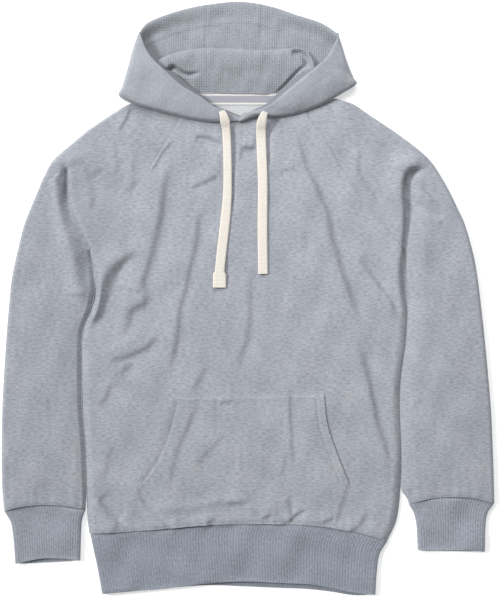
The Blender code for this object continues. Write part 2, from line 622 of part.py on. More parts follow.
def flap_rows(table, stations):
    """The flap from its rim out to the fold or the lower edge, a row for each station."""
    rows = []
    for station in stations:
        rim, fold = flap_station(table, station)
        width = max((rim - fold).xy.length, 0.001)
        crown = FLAP_CROWN * ease(width / FLAP_FULL_WIDTH)
        turn = min(HOOD_FOLD_ROLL, 0.7 * width)
        row = []
        steps = [step * min(1.0, width / FLAP_NARROW) / width for step in FLAP_STEPS]
        for part in [0.0] + flap_parts(steps):
            place = rim.lerp(fold, part)
            top = rim.z - 0.6 * part * max(rim.z - FLAP_LIE, 0.0)
            top += crown * math.sin(math.pi * part)
            place.z = mix(fold.z, top, roll((1.0 - part) * width, turn))
            row.append(place)
        rows.append(row)
    return rows


def rim_at(x):
    return Vector((x, read(TOP_RIM, x, "y"), read(TOP_RIM, x, "z")))


def hood_floor_rows(side_points, seam_x, columns):
    """The hood's back on the floor, from its outer side, given as points from foot to top, to a seam.

    The top row is the rim, which stands up, and the first column is the outer side.
    """
    foot, corner = side_points[0], side_points[-1]
    rows = []
    for side in side_points:
        rise = (side.y - foot.y) / (corner.y - foot.y)
        bulge = (side - foot.lerp(corner, rise)).xy
        row = []
        for part in columns:
            low = Vector((mix(foot.x, seam_x, part), mix(foot.y, HOOD_FOOT_Y, part)))
            head = rim_at(mix(corner.x, seam_x, part))
            place = low.lerp(head.xy, rise) + bulge * (1.0 - part)
            up = side.z * (1.0 - roll(abs(place.x - side.x), HOOD_FLOOR_ROLL))
            lip = head.z * (1.0 - roll((head.xy - place).length, HOOD_LIP_ROLL))
            row.append(Vector((place.x, place.y, max(up, lip))))
        rows.append(row)
    rows[-1][0] = corner.copy()
    return rows


def hood_side(name, table, corner, seam_x, material):
    """A side panel of the hood: its flap, the outer fold and its part of the hood's back."""
    last = table[-1].station
    stations = [0.0, 0.35, 0.75] + [mix(1.3, corner, index / 5) for index in range(6)]
    beyond = [mix(corner, last, index / 8) for index in range(1, 9)]
    mesh = bmesh.new()
    flap = flap_rows(table, stations + beyond)
    if seam_x > 0:
        flap = [list(reversed(row)) for row in flap]
    add_sheet(mesh, flap)
    folds = [flap_station(table, station)[1] for station in reversed(stations)]
    floor = hood_floor_rows(folds, seam_x, (0.0, 0.02, 0.05, 0.1, 0.2, 0.45, 0.72, 1.0))
    if seam_x < 0:
        floor = [list(reversed(row)) for row in floor]
    add_sheet(mesh, floor)
    thicken(mesh, FLEECE, square=lambda place: Vector((abs(place.x - seam_x) > 0.02, 1, 1)))
    return make_object(name, mesh, material)


def hood_centre(material):
    """The centre panel of the hood lies on the floor and turns up into the rim at the top."""
    left, right = HOOD_SEAMS[0] + SEAM, HOOD_SEAMS[1] - SEAM
    rows = []
    for part in (0.0, 0.3, 0.6, 0.8, 0.9, 0.945, 0.975, 0.99, 1.0):
        row = []
        for across in (0.0, 0.25, 0.5, 0.75, 1.0):
            head = rim_at(mix(left, right, across))
            y = mix(HOOD_FOOT_Y, head.y, part)
            row.append(Vector((head.x, y, head.z * (1.0 - roll(head.y - y, HOOD_LIP_ROLL)))))
        rows.append(list(reversed(row)))
    mesh = bmesh.new()
    add_sheet(mesh, rows)
    thicken(mesh, FLEECE, square=lambda place: Vector((0, 1, 1)))
    return make_object("hood_centre", mesh, material)


def lining_point(x, y, head, side_x):
    """A point of the lining's visible face, which rises to the hood's rim and to its outer fold."""
    shifted = y + LINING_FOLD_Y - read(LINING_FOLD, x, "z")
    height = read(LINING_RISE, shifted, "z")
    beside = ease(abs(x - side_x) / LINING_SIDE_WIDTH)
    height = max(height, mix(LINING_SIDE_LIE, height, beside))
    near_rim = ease((LINING_RIM_WIDTH - (head.y - y)) / (LINING_RIM_WIDTH - LINING_RIM_INSET))
    return Vector((x, y, mix(height, head.z + 0.4, near_rim)))


def lining_panel(name, table, corner, seam_x, foot, material):
    """A side panel of the lining, between the hood's outer fold and a seam of the centre panel."""
    sign = -1.0 if seam_x < 0 else 1.0
    inner = seam_x + sign * SEAM / 2
    rows = []
    for step in range(11):
        line = step / 10
        side = flap_station(table, mix(corner, 0.9, line))[1]
        side.x -= sign * LINING_SIDE_INSET
        row = []
        for part in (0.0, 0.06, 0.16, 0.36, 0.58, 0.8, 1.0):
            x = mix(side.x, inner, part)
            head = rim_at(x)
            top_y = head.y - LINING_RIM_INSET
            y = mix(side.y + 2.0, mix(foot, top_y, line), ease(part / mix(0.8, 0.3, line)))
            row.append(lining_point(x, min(y, top_y), head, side.x))
        rows.append(row if sign < 0 else list(reversed(row)))
    return wall(name, rows, WAFFLE, material, straight(rows, -1.0))


def lining_centre(foot, material):
    left, right = HOOD_SEAMS[0] + SEAM / 2, HOOD_SEAMS[1] - SEAM / 2
    rows = []
    for step in range(15):
        row = []
        for across in (0.0, 0.2, 0.4, 0.6, 0.8, 1.0):
            head = rim_at(mix(left, right, across))
            y = mix(foot, head.y - LINING_RIM_INSET, step / 14)
            row.append(lining_point(head.x, y, head, TAPE_BOX[0]))
        rows.append(row)
    return wall("lining_centre", rows, WAFFLE, material, straight(rows, -1.0))


def strip(name, box, top, thickness, material):
    """A flat strip: the neck tape or the blank label."""
    left, right, foot, head = box
    rows = [[Vector((mix(left, right, across / 4), y, top)) for across in range(5)] for y in (foot, head)]
    return wall(name, rows, thickness, material, straight(rows, -1.0))


def cord_points(route):
    """A smooth curve through a drawcord's route, with its width."""
    places = []
    for index in range(len(route) - 1):
        before, start = route[max(index - 1, 0)], route[index]
        end, after = route[index + 1], route[min(index + 2, len(route) - 1)]
        for part in (0.0, 0.5) if index < len(route) - 2 else (0.0, 0.5, 1.0):
            square, cube = part * part, part ** 3
            place = [0.5 * (2 * b + (c - a) * part + (2 * a - 5 * b + 4 * c - d) * square
                            + (3 * b - a - 3 * c + d) * cube)
                     for a, b, c, d in zip(before[:3], start[:3], end[:3], after[:3])]
            places.append((Vector(place), mix(start.width, end.width, part)))
    return places


def flat_cord(name, route, material):
    """A flat cord: a ring of the rounded flat section at each point of its route, and capped ends."""
    places = cord_points(route)
    mesh = bmesh.new()
    rings = []
    for index, (place, width) in enumerate(places):
        before, after = places[max(index - 1, 0)][0], places[min(index + 1, len(places) - 1)][0]
        along = (after - before).normalized()
        across = along.cross(Vector((0, 0, 1))).normalized()
        up = across.cross(along)
        ring = []
        for side in range(CORD_SIDES):
            turn = 2 * math.pi * (side + 0.5) / CORD_SIDES
            flat = math.copysign(abs(math.cos(turn)) ** 0.35, math.cos(turn))
            ring.append(mesh.verts.new(place + across * (flat * width / 2)
                                       + up * (math.sin(turn) * CORD_THICKNESS / 2)))
        rings.append(ring)
    for one, two in zip(rings, rings[1:]):
        for side in range(CORD_SIDES):
            other = (side + 1) % CORD_SIDES
            mesh.faces.new((one[side], one[other], two[other], two[side]))
    mesh.faces.new(rings[0])
    mesh.faces.new(rings[-1])
    bmesh.ops.recalc_face_normals(mesh, faces=mesh.faces)
    return make_object(name, mesh, material)


def main():
    for old in list(bpy.data.objects):
        bpy.data.objects.remove(old, do_unlink=True)
    fleece = make_material("fleece", FLEECE_COLOUR, 0.92)
    rib = make_material("rib", RIB_COLOUR, 0.92)
    waffle = make_material("lining", WAFFLE_COLOUR, 0.92)
    tape = make_material("tape", TAPE_COLOUR, 0.85)
    label = make_material("label", LABEL_COLOUR, 0.7)
    cord = make_material("cord", CORD_COLOUR, 0.85)

    plan = front_plan()
    front, ways = front_points(plan)
    wall("body_front", front, FLEECE, fleece, ways)
    back = [list(reversed(row)) for row in back_points(plan)]
    wall("body_back", back, FLEECE, fleece, straight(back, 1.0))
    cuffs = (("left", CUFF_LEFT, CUFF_LEFT_SIDES), ("right", CUFF_RIGHT, CUFF_RIGHT_SIDES))
    for side, cuff, cuff_sides in cuffs:
        rows = sleeve_rows(side, plan, cuff, cuff_sides)
        if side == "left":
            rows = [list(reversed(row)) for row in rows]
        wall("sleeve_" + side, rows, FLEECE, fleece)
        rows = band_rows(cuff, cuff_sides, CUFF_RIBS, CUFF_LIES, 2)
        lifted = ribs_on(rows, CUFF_RIBS, 2)
        if side == "right":
            rows = [list(reversed(row)) for row in rows]
        wall("cuff_" + side, rows, RIB_CLOTH, rib, ribs=lifted)
    rows = band_rows(HEM, HEM_SIDES, HEM_RIBS, HEM_LIES, 2, HEM_FLOOR_PARTS)
    wall("hem_band", list(reversed(rows)), RIB_CLOTH, rib, ribs=ribs_on(rows, HEM_RIBS, 2))
    first, last = len(SIDE_PARTS), len(SIDE_PARTS) + POCKET_COLUMNS
    patch = [row[first:last + 1] for row in front[:BANDS[0] + BANDS[1] + 1]]
    patch = [[point + Vector((0, 0, SEAM + POCKET_CLOTH)) for point in row] for row in patch]
    wall("pocket", patch, POCKET_CLOTH, fleece, straight(patch, -1.0))

    hood_side("hood_left", FLAP_LEFT, LEFT_CORNER, HOOD_SEAMS[0], fleece)
    hood_side("hood_right", FLAP_RIGHT, RIGHT_CORNER, HOOD_SEAMS[1], fleece)
    hood_centre(fleece)
    foot = TAPE_BOX[3] + SEAM
    lining_panel("lining_left", FLAP_LEFT, LEFT_CORNER - 0.4, HOOD_SEAMS[0], foot, waffle)
    lining_panel("lining_right", FLAP_RIGHT, RIGHT_CORNER - 0.2, HOOD_SEAMS[1], foot, waffle)
    lining_centre(foot, waffle)
    strip("neck_tape", TAPE_BOX, FLEECE + SEAM + TAPE + TAPE_LIFT, TAPE, tape)
    strip("neck_label", LABEL_BOX, FLEECE + SEAM + LABEL, LABEL, label)
    flat_cord("drawcord_left", CORD_LEFT, cord)
    flat_cord("drawcord_right", CORD_RIGHT, cord)


main()
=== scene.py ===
import math
from collections import namedtuple

import bmesh
import bpy
import numpy as np
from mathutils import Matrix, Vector


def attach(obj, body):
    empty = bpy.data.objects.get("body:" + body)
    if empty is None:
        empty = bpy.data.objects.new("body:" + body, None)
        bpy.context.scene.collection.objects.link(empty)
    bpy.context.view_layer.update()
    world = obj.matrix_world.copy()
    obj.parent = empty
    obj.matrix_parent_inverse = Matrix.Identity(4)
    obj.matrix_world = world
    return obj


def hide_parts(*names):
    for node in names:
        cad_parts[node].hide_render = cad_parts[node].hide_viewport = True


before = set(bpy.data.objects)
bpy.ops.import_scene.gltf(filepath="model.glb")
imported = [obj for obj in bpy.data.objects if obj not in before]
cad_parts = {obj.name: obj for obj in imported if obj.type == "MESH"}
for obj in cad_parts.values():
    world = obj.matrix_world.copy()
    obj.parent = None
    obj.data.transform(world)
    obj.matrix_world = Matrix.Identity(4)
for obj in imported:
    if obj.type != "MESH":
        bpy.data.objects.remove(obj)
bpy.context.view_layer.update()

# A pullover hoodie lying flat on its back. +Y runs from the hem to the hood and +Z is up. The sizes in the
# dictionaries and tables are millimetres, and go to metres in makeCloth and makeCord.

mm = 0.001
scene = bpy.context.scene

Sides = namedtuple("Sides", "y left right")
Seam = namedtuple("Seam", "part seam front back")
Fold = namedtuple("Fold", "height width path kind", defaults=("shade",))
Flap = namedtuple("Flap", "station rimX rimY rimZ foldX foldY foldZ")
Rim = namedtuple("Rim", "x y z")
Level = namedtuple("Level", "y z")
Route = namedtuple("Route", "x y z width")


def mix(start, end, part):
    return start + (end - start) * part


def ease(value):
    value = np.clip(value, 0.0, 1.0)
    return value * value * (3.0 - 2.0 * value)


def roll(distance, width):      # a quarter circle's height over its width
    part = np.clip(distance / width, 0.0, 1.0)
    return np.sqrt(1.0 - (1.0 - part) ** 2)


def softRoll(distance, width):
    return 0.55 * roll(distance, width) + 0.45 * ease(distance / width)


def hump(distance, width):
    return np.exp(-(distance / width) ** 2)


def read(table, key, column):   # a column's value on a smooth curve through the table's rows
    keys = np.array([row[0] for row in table], float)
    values = np.array([getattr(row, column) for row in table], float)
    before = np.maximum(np.arange(len(keys)) - 1, 0)
    after = np.minimum(np.arange(len(keys)) + 1, len(keys) - 1)
    slope = (values[after] - values[before]) / (keys[after] - keys[before])
    row = np.clip(np.searchsorted(keys, key, "right") - 1, 0, len(keys) - 2)
    span = keys[row + 1] - keys[row]
    part = np.clip((key - keys[row]) / span, 0.0, 1.0)
    leave = part * (1.0 - part) ** 2 * span * slope[row]
    arrive = part * part * (part - 1.0) * span * slope[row + 1]
    return mix(values[row], values[row + 1], part * part * (3.0 - 2.0 * part)) + leave + arrive


def stages(along, share, start, middle, end):      # start to middle over the first share, then on to end
    return np.where(along < share, mix(start, middle, along / share),
                    mix(middle, end, (along - share) / (1.0 - share)))


def smoothSpan(points, index, part):    # on the smooth curve through points, part of the way past index
    before, start = points[np.maximum(index - 1, 0)], points[index]
    end, after = points[index + 1], points[np.minimum(index + 2, len(points) - 1)]
    return 0.5 * (2.0 * start + (end - before) * part
                  + (2.0 * before - 5.0 * start + 4.0 * end - after) * part ** 2
                  + (3.0 * start - before - 3.0 * end + after) * part ** 3)


# ---- camera, floor and light

print("camera and light")
view = {"lens": 85.0, "height": 0.8758, "middleX": 0.0029, "middleY": -0.0039, "clothLevel": 0.008}
lens = bpy.data.cameras.new("camera")
lens.lens = view["lens"]
camera = bpy.data.objects.new("camera", lens)
away = view["height"] / 2 / (lens.sensor_width / 2 / lens.lens)
camera.location = (view["middleX"], view["middleY"], view["clothLevel"] + away)
scene.collection.objects.link(camera)
scene.camera = camera

light = {"key": 2.55, "keySpread": 14.0, "keyFrom": (-0.74, 0.28, 0.58), "fill": 12.0, "fillSize": 0.9,
         "fillFrom": (0.05, 1.20, 1.0), "sky": 0.36, "floor": 0.86, "floorGlow": 0.42}
for name, kind, place in (("key", "SUN", light["keyFrom"]), ("fill", "AREA", light["fillFrom"])):
    lamp = bpy.data.lights.new(name, kind)
    lamp.energy = light[name]
    if kind == "SUN":
        lamp.angle = math.radians(light["keySpread"])
    else:
        lamp.size = light["fillSize"]
    carrier = bpy.data.objects.new(name, lamp)
    carrier.location = place
    carrier.rotation_mode = "QUATERNION"
    carrier.rotation_quaternion = (-Vector(place)).to_track_quat("-Z", "Y")
    scene.collection.objects.link(carrier)
world = bpy.data.worlds.new("world")
world.use_nodes = True
world.node_tree.nodes["Background"].inputs["Color"].default_value = (1.0, 1.0, 1.0, 1.0)
world.node_tree.nodes["Background"].inputs["Strength"].default_value = light["sky"]
scene.world = world
scene.view_settings.view_transform = "Standard"

mesh = bmesh.new()
bmesh.ops.create_grid(mesh, x_segments=1, y_segments=1, size=6.0)
bmesh.ops.translate(mesh, vec=(0.0, 0.0, -0.0004), verts=mesh.verts)
floorData = bpy.data.meshes.new("floor")
mesh.to_mesh(floorData)
mesh.free()
floor = bpy.data.objects.new("floor", floorData)
scene.collection.objects.link(floor)


# ---- materials

print("materials")


class Finish:       # a material and short ways to add nodes to it

    def __init__(self, name, roughness, sheen=0.0):
        self.material = bpy.data.materials.new(name)
        self.material.use_nodes = True
        self.tree = self.material.node_tree
        self.shader = self.tree.nodes["Principled BSDF"]
        for socket, value in {"Roughness": roughness, "Sheen Weight": sheen, "Sheen Roughness": 0.5,
                              "Specular IOR Level": 0.25}.items():
            self.shader.inputs[socket].default_value = value

    def node(self, kind, inputs=(), **settings):
        node = self.tree.nodes.new("ShaderNode" + kind)
        for name, value in settings.items():
            setattr(node, name, value)
        for socket, value in dict(inputs).items():
            if isinstance(value, bpy.types.NodeSocket):
                self.tree.links.new(value, node.inputs[socket])
            else:
                node.inputs[socket].default_value = value
        return node

    def math(self, operation, one, two=0.0, three=0.0):
        return self.node("Math", {0: one, 1: two, 2: three}, operation=operation).outputs[0]

    def attribute(self, name):
        return self.node("Attribute", attribute_name=name).outputs["Fac"]

    def weave(self, scale, turn=0.0):       # the cloth's own coordinates, turned and scaled
        cloth = self.node("UVMap", uv_map="weave").outputs["UV"]
        return self.node("Mapping", {"Vector": cloth, "Rotation": (0.0, 0.0, turn),
                                     "Scale": scale}).outputs["Vector"]

    def noise(self, vector, scale, detail=2.0, roughness=0.5):
        return self.node("TexNoise", {"Vector": vector, "Scale": scale, "Detail": detail,
                                      "Roughness": roughness}).outputs["Fac"]

    def blend(self, part, one, two):        # between two colours or two numbers
        kind = "RGBA" if isinstance(one, tuple) or getattr(one, "type", "") == "RGBA" else "FLOAT"
        first = {"RGBA": 6, "FLOAT": 2}[kind]
        node = self.node("Mix", {0: part, first: one, first + 1: two}, data_type=kind)
        return node.outputs[{"RGBA": 2, "FLOAT": 0}[kind]]

    def tint(self, tone, mask, share, colour):
        return self.blend(self.math("MULTIPLY", mask, share), tone, colour)

    def ramp(self, value, stops):
        node = self.node("ValToRGB", {"Fac": value})
        line = node.color_ramp
        while len(line.elements) < len(stops):
            line.elements.new(0.5)
        for element, (place, colour) in zip(line.elements, stops):
            element.position = place
            element.color = colour
        return node.outputs["Color"]

    def finish(self, colour, height, depth):
        self.tree.links.new(colour, self.shader.inputs["Base Color"])
        bump = self.node("Bump", {"Height": height, "Strength": 1.0, "Distance": depth})
        self.tree.links.new(bump.outputs["Normal"], self.shader.inputs["Normal"])
        return self.material


def grey(red, green, blue):
    return (red, green, blue, 1.0)


def shaded(colour, share):
    return tuple(channel * share for channel in colour[:3]) + (1.0,)


# inner sets how dark the painted shade is on the hood hem's inner face and in the armpits' hollows
marl = {"streakLength": 155.0, "streakAcross": 430.0, "capTurn": 1.15, "roughness": 0.95, "sheen": 0.12,
        "dark": 0.74, "light": 1.20, "inner": 0.54, "mottle": 26.0, "bump": 0.0004, "stitchAt": (2.6, 8.2),
        "stitchWidth": 0.55, "stitchLength": 3.2}


def marlFinish(name, colour, streak=1.0, capTurn=0.0):
    cloth = Finish(name, marl["roughness"], marl["sheen"])
    along = (marl["streakLength"], marl["streakAcross"], 300.0)
    streaks = cloth.noise(cloth.weave(along), 1.0, 3.0, 0.62)
    if capTurn:     # the sleeve's cap has its knit turned towards the neck
        turned = cloth.noise(cloth.weave(along, capTurn), 1.0, 3.0, 0.62)
        streaks = cloth.blend(cloth.attribute("cap"), streaks, turned)
    fleck = cloth.noise(cloth.weave((420.0, 900.0, 300.0)), 1.0, 1.0)
    mottle = cloth.noise(cloth.weave((marl["mottle"],) * 3), 1.0, 3.0)
    value = cloth.math("MULTIPLY_ADD", streaks, 0.86, cloth.math("MULTIPLY", fleck, 0.14))
    spread = 0.17 / streak
    tone = cloth.ramp(value, [(0.5 - spread, shaded(colour, marl["dark"])), (0.5, colour),
                              (0.5 + spread, shaded(colour, marl["light"]))])
    patch = cloth.ramp(mottle, [(0.3, grey(0.93, 0.93, 0.95)), (0.7, grey(1.07, 1.06, 1.05))])
    tone = cloth.node("Mix", {0: 1.0, 6: tone, 7: patch}, data_type="RGBA",
                      blend_type="MULTIPLY").outputs[2]
    # painted shade: the hood hem's inner face and the hollows at the armpits are darkened in the colour
    tone = cloth.tint(tone, cloth.attribute("inner"), 0.9, shaded(colour, marl["inner"]))
    height = cloth.math("MULTIPLY", value, 0.35)
    side = cloth.attribute("stitchSide")
    run = cloth.math("FRACT", cloth.math("DIVIDE", cloth.attribute("stitchRun"), marl["stitchLength"]))
    dash = cloth.math("LESS_THAN", run, 0.72)
    lines = 0.0
    for place in marl["stitchAt"]:
        gap = cloth.math("ABSOLUTE", cloth.math("SUBTRACT", side, place))
        line = cloth.node("MapRange", {"Value": gap, "From Min": marl["stitchWidth"], "From Max": 0.0,
                                       "To Min": 0.0, "To Max": 1.0}).outputs["Result"]
        lines = cloth.math("MAXIMUM", lines, line)
    thread = cloth.math("MULTIPLY", lines, dash)
    tone = cloth.tint(tone, lines, 0.5, shaded(colour, 0.72))
    tone = cloth.tint(tone, thread, 0.55, shaded(colour, 1.3))
    height = cloth.math("SUBTRACT", height, cloth.math("MULTIPLY", lines, 0.9))
    height = cloth.math("MULTIPLY_ADD", thread, 0.6, height)
    return cloth.finish(tone, height, marl["bump"])


knits = {       # low is the attribute that is 1 in the knit's hollows, which get painted shade
    "rib": {"sheen": 0.1, "streaks": (300.0, 260.0, 300.0), "dark": (0.3, 0.78), "light": (0.72, 1.2),
            "low": "groove", "lowPaintedShade": 0.13, "lowBump": -0.2, "streakBump": 0.4, "bump": 0.0007},
    "waffle": {"sheen": 0.08, "streaks": (260.0, 500.0, 300.0), "dark": (0.32, 0.8), "light": (0.7, 1.18),
               "low": "pit", "lowPaintedShade": 0.24, "lowBump": -0.6, "streakBump": 0.3, "bump": 0.00068},
}


def knitFinish(name, colour, kind):
    knit = knits[kind]
    cloth = Finish(name, 0.95, knit["sheen"])
    streaks = cloth.noise(cloth.weave(knit["streaks"]), 1.0, 3.0, 0.6)
    (darkAt, dark), (lightAt, light) = knit["dark"], knit["light"]
    tone = cloth.ramp(streaks, [(darkAt, shaded(colour, dark)), (0.5, colour),
                                (lightAt, shaded(colour, light))])
    low = cloth.attribute(knit["low"])
    # painted shade in the knit's hollows
    tone = cloth.tint(tone, low, knit["lowPaintedShade"], shaded(colour, 0.55))
    fine = cloth.math("MULTIPLY", streaks, knit["streakBump"])
    return cloth.finish(tone, cloth.math("MULTIPLY_ADD", low, knit["lowBump"], fine), knit["bump"])


def wovenFinish(name, colour, pitch, stripe=None):
    cloth = Finish(name, 0.8, 0.05)
    fine = 2.0 * math.pi / (pitch * mm)
    grid = cloth.node("SeparateXYZ", {"Vector": cloth.weave((fine, fine, 1.0))})
    across = cloth.math("SINE", grid.outputs["X"])
    along = cloth.math("SINE", cloth.math("ADD", grid.outputs["Y"], cloth.math("MULTIPLY", across, 1.2)))
    height = cloth.math("MULTIPLY_ADD", along, 0.5, 0.5)
    dust = cloth.noise(cloth.weave((500.0, 500.0, 500.0)), 1.0, 2.0)
    tone = cloth.ramp(dust, [(0.3, shaded(colour, 0.93)), (0.7, shaded(colour, 1.03))])
    if stripe:
        middle = cloth.math("COMPARE", cloth.attribute("across"), 0.5, 0.31)
        tone = cloth.blend(middle, tone, stripe)
    tone = cloth.tint(tone, height, 0.12, shaded(colour, 0.7))
    return cloth.finish(tone, height, pitch * 0.22 * mm)


fleeceColour = grey(0.354, 0.373, 0.412)
fleece = marlFinish("fleece", fleeceColour)
hoodFleece = marlFinish("fleece_hood", shaded(fleeceColour, 0.96), streak=0.6)
sleeveLeftFleece = marlFinish("fleece_sleeve_left", shaded(fleeceColour, 0.97), capTurn=-marl["capTurn"])
sleeveRightFleece = marlFinish("fleece_sleeve_right", shaded(fleeceColour, 0.97), capTurn=marl["capTurn"])
# the cuffs' rib is the hem's rib knit made lighter: painted light, as the hem lies in more shade
rib = knitFinish("rib", grey(0.276, 0.300, 0.348), "rib")
cuffRibPaintedLight = knitFinish("rib_cuff_painted_light", grey(0.304, 0.326, 0.374), "rib")
waffle = knitFinish("lining", grey(0.312, 0.331, 0.365), "waffle")
tape = wovenFinish("tape", grey(0.82, 0.82, 0.79), 1.1, grey(0.39, 0.39, 0.45))
label = wovenFinish("label", grey(0.66, 0.67, 0.69), 0.8)
cord = wovenFinish("cord", grey(0.93, 0.87, 0.79), 1.9)

pale = Finish("floor", 0.9)
pale.shader.inputs["Base Color"].default_value = grey(light["floor"], light["floor"], light["floor"])
pale.shader.inputs["Emission Color"].default_value = grey(1.0, 1.0, 1.0)
pale.shader.inputs["Emission Strength"].default_value = light["floorGlow"]
grain = pale.noise(pale.node("TexCoord").outputs["Object"], 90.0, 3.0)
pale.tree.links.new(pale.node("Bump", {"Height": grain, "Distance": 0.0001}).outputs["Normal"],
                    pale.shader.inputs["Normal"])
floor.data.materials.append(pale.material)


# ---- making cloth from grids

def gridPoints(data):
    grid = np.empty(len(data.vertices) * 3, np.float32)
    data.vertices.foreach_get("co", grid)
    return grid.reshape(-1, 3).astype(float) + 0.5


def makeCloth(name, patches, wall, material, capped=False):
    # each patch is (columns, rows, place, flipped), and place gives the points and what the material reads
    whole = bmesh.new()
    for columns, rows, place, flipped in patches:
        mesh = bmesh.new()
        bmesh.ops.create_grid(mesh, x_segments=columns, y_segments=rows, size=0.5)
        if flipped:
            bmesh.ops.reverse_faces(mesh, faces=mesh.faces)
        data = bpy.data.meshes.new("patch")
        mesh.to_mesh(data)
        mesh.free()
        grid = gridPoints(data)
        made = place(grid[:, 0], grid[:, 1])
        corners = np.empty(len(data.loops), np.int32)
        data.loops.foreach_get("vertex_index", corners)
        cloth = np.stack([made.pop("u"), made.pop("v")], 1)[corners] * mm
        data.uv_layers.new(name="weave").data.foreach_set("uv", cloth.ravel())
        points = np.stack([made.pop("x"), made.pop("y"), made.pop("z")], 1) * mm
        data.vertices.foreach_set("co", points.ravel())
        for key, values in made.items():
            data.attributes.new(key, "FLOAT", "POINT").data.foreach_set("value", values.astype(np.float32))
        whole.from_mesh(data)
        bpy.data.meshes.remove(data)
    bmesh.ops.remove_doubles(whole, verts=whole.verts, dist=0.00002)
    for edge in whole.edges:
        edge.smooth = not edge.is_boundary
    if capped:
        bmesh.ops.holes_fill(whole, edges=[edge for edge in whole.edges if edge.is_boundary], sides=0)
    data = bpy.data.meshes.new(name)
    whole.to_mesh(data)
    whole.free()
    data.shade_smooth()
    data.materials.append(material)
    piece = bpy.data.objects.new(name, data)
    scene.collection.objects.link(piece)
    if wall:
        shell = piece.modifiers.new("wall", "SOLIDIFY")
        shell.thickness = wall * mm
        shell.offset = -1.0
    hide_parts(name)
    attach(piece, "root")
    return piece


noStitch = 50.0     # a stitchSide so far from an edge that no stitch shows


def laid(x, y, z, **seen):      # a patch's points, its cloth coordinates and what its material reads
    return {"x": x, "y": y, "z": z, "u": x, "v": y, **seen}


def plain(x, y, z):
    return laid(x, y, z, stitchSide=np.full(len(x), noStitch), stitchRun=x)


def bunched(part, share):       # columns stand closer beside both edges
    return mix(part, 0.5 - 0.5 * np.cos(math.pi * part), share)


def smoothMax(value, least, reach=0.5):
    return least + reach * np.logaddexp(0.0, (value - least) / reach)


# ---- drawcords

print("drawcords")
cordShape = {"thickness": 2.6, "around": 24, "edge": 0.35, "rowStep": 0.9, "lineSteps": 110, "lyingY": 245.0}
cordLeft = [
    Route(-38, 272, 19, 8), Route(-35, 264, 18.4, 12), Route(-33, 256, 16, 14),
    Route(-31.8, 247, 12, 12), Route(-30.8, 232, 10, 12), Route(-29.8, 202, 9.9, 12),
    Route(-29.6, 172, 9.9, 12), Route(-30.4, 144, 9.9, 13), Route(-33, 115, 9.9, 14),
    Route(-36.2, 86, 9.9, 14), Route(-39.4, 58, 9.9, 14), Route(-41, 41, 9.9, 14),
    Route(-41.3, 35, 9.9, 19), Route(-41.4, 17, 9.9, 19),
]
cordRight = [
    Route(25, 270, 22.3, 8), Route(21.5, 262, 20, 12), Route(19.2, 253, 16.8, 14),
    Route(18.8, 243, 12.2, 14), Route(19.2, 228, 10, 14), Route(20.2, 202, 9.9, 14),
    Route(21.2, 172, 9.9, 14), Route(21.2, 144, 9.9, 14), Route(21, 115, 9.9, 14),
    Route(21, 86, 9.9, 14), Route(21.4, 58, 9.9, 14), Route(21.8, 37, 9.9, 14),
]


def makeCord(name, route):
    # a smooth curve through the route carries a flat rounded section
    count = len(route) - 1
    table = np.array(route, float)
    stations = np.linspace(0.0, count, cordShape["lineSteps"])
    index = np.minimum(stations.astype(int), count - 1)
    part = (stations - index)[:, None]
    line = smoothSpan(table, index, part)
    line[:, 3] = mix(table[index, 3], table[index + 1, 3], part[:, 0])
    run = np.concatenate([[0.0], np.cumsum(np.linalg.norm(np.diff(line[:, :3], axis=0), axis=1))])
    rows = int(run[-1] / cordShape["rowStep"])

    def place(around, along):
        reach = along * run[-1]
        x, y, z, width = (np.interp(reach, run, line[:, column]) for column in range(4))
        ways = [np.interp(reach + 2.0, run, line[:, column]) - np.interp(reach - 2.0, run, line[:, column])
                for column in range(3)]
        size = np.sqrt(ways[0] ** 2 + ways[1] ** 2 + ways[2] ** 2)
        alongX, alongY, alongZ = (way / size for way in ways)
        level = np.hypot(alongX, alongY)
        acrossX, acrossY = alongY / level, -alongX / level
        upX, upY, upZ = acrossY * alongZ, -acrossX * alongZ, np.abs(acrossX * alongY - acrossY * alongX)
        turn = 2.0 * math.pi * around
        edge = np.abs(np.cos(turn)) ** cordShape["edge"]
        flat = np.sign(np.cos(turn)) * edge * width / 2
        weaving = 0.09 * np.sin(flat * 3.3 + np.sin(reach * 1.6) * 1.2) * np.sin(reach * 3.2)
        high = np.sin(turn) * (cordShape["thickness"] / 2 - 0.10 + weaving * (1.0 - edge ** 6))
        return {"x": x + acrossX * flat + upX * high, "y": y + acrossY * flat + upY * high,
                "z": z + upZ * high, "u": flat, "v": reach}

    piece = makeCloth(name, [(cordShape["around"] * 2, rows, place, True)], 0, cord, capped=True)


makeCord("drawcord_left", cordLeft)
makeCord("drawcord_right", cordRight)


# ---- how the front layer lies

body = {"fleece": 2.0, "backFleece": 1.4, "seam": 0.3, "lie": 8.0, "lowest": 4.9, "sideRoll": 12.0,
        "underarmEase": 42.0, "underarmY": 71.5, "frontNeckY": 280.0, "backNeckY": 296.0, "neckDrop": 14.0,
        "hoodFade": 22.0, "columns": 160, "rows": 225, "lowerShare": 0.56, "backColumns": 64, "backRows": 90,
        "seamDip": 0.9, "seamWidth": 2.2, "puff": 1.5, "puffMiddle": -8.0, "puffFrom": 50.0, "puffOver": 60.0,
        "underCord": 8.2, "cordLeft": -62.0, "cordRight": 44.0, "cordFoot": 5.0,
        "seamFrom": 130.0, "seamOver": 90.0, "seamLeft": (0.08, 0.40), "seamRight": (0.50, 0.95)}
bodySides = [
    Sides(-352, -229, 202), Sides(-320, -233, 216), Sides(-270, -235, 222), Sides(-218, -237, 223),
    Sides(-160, -241, 221), Sides(-118, -242, 222), Sides(-66, -242, 229), Sides(-41, -239, 231),
    Sides(-15, -229, 232), Sides(13, -223, 229), Sides(40, -225, 227), Sides(71.5, -229, 225),
]
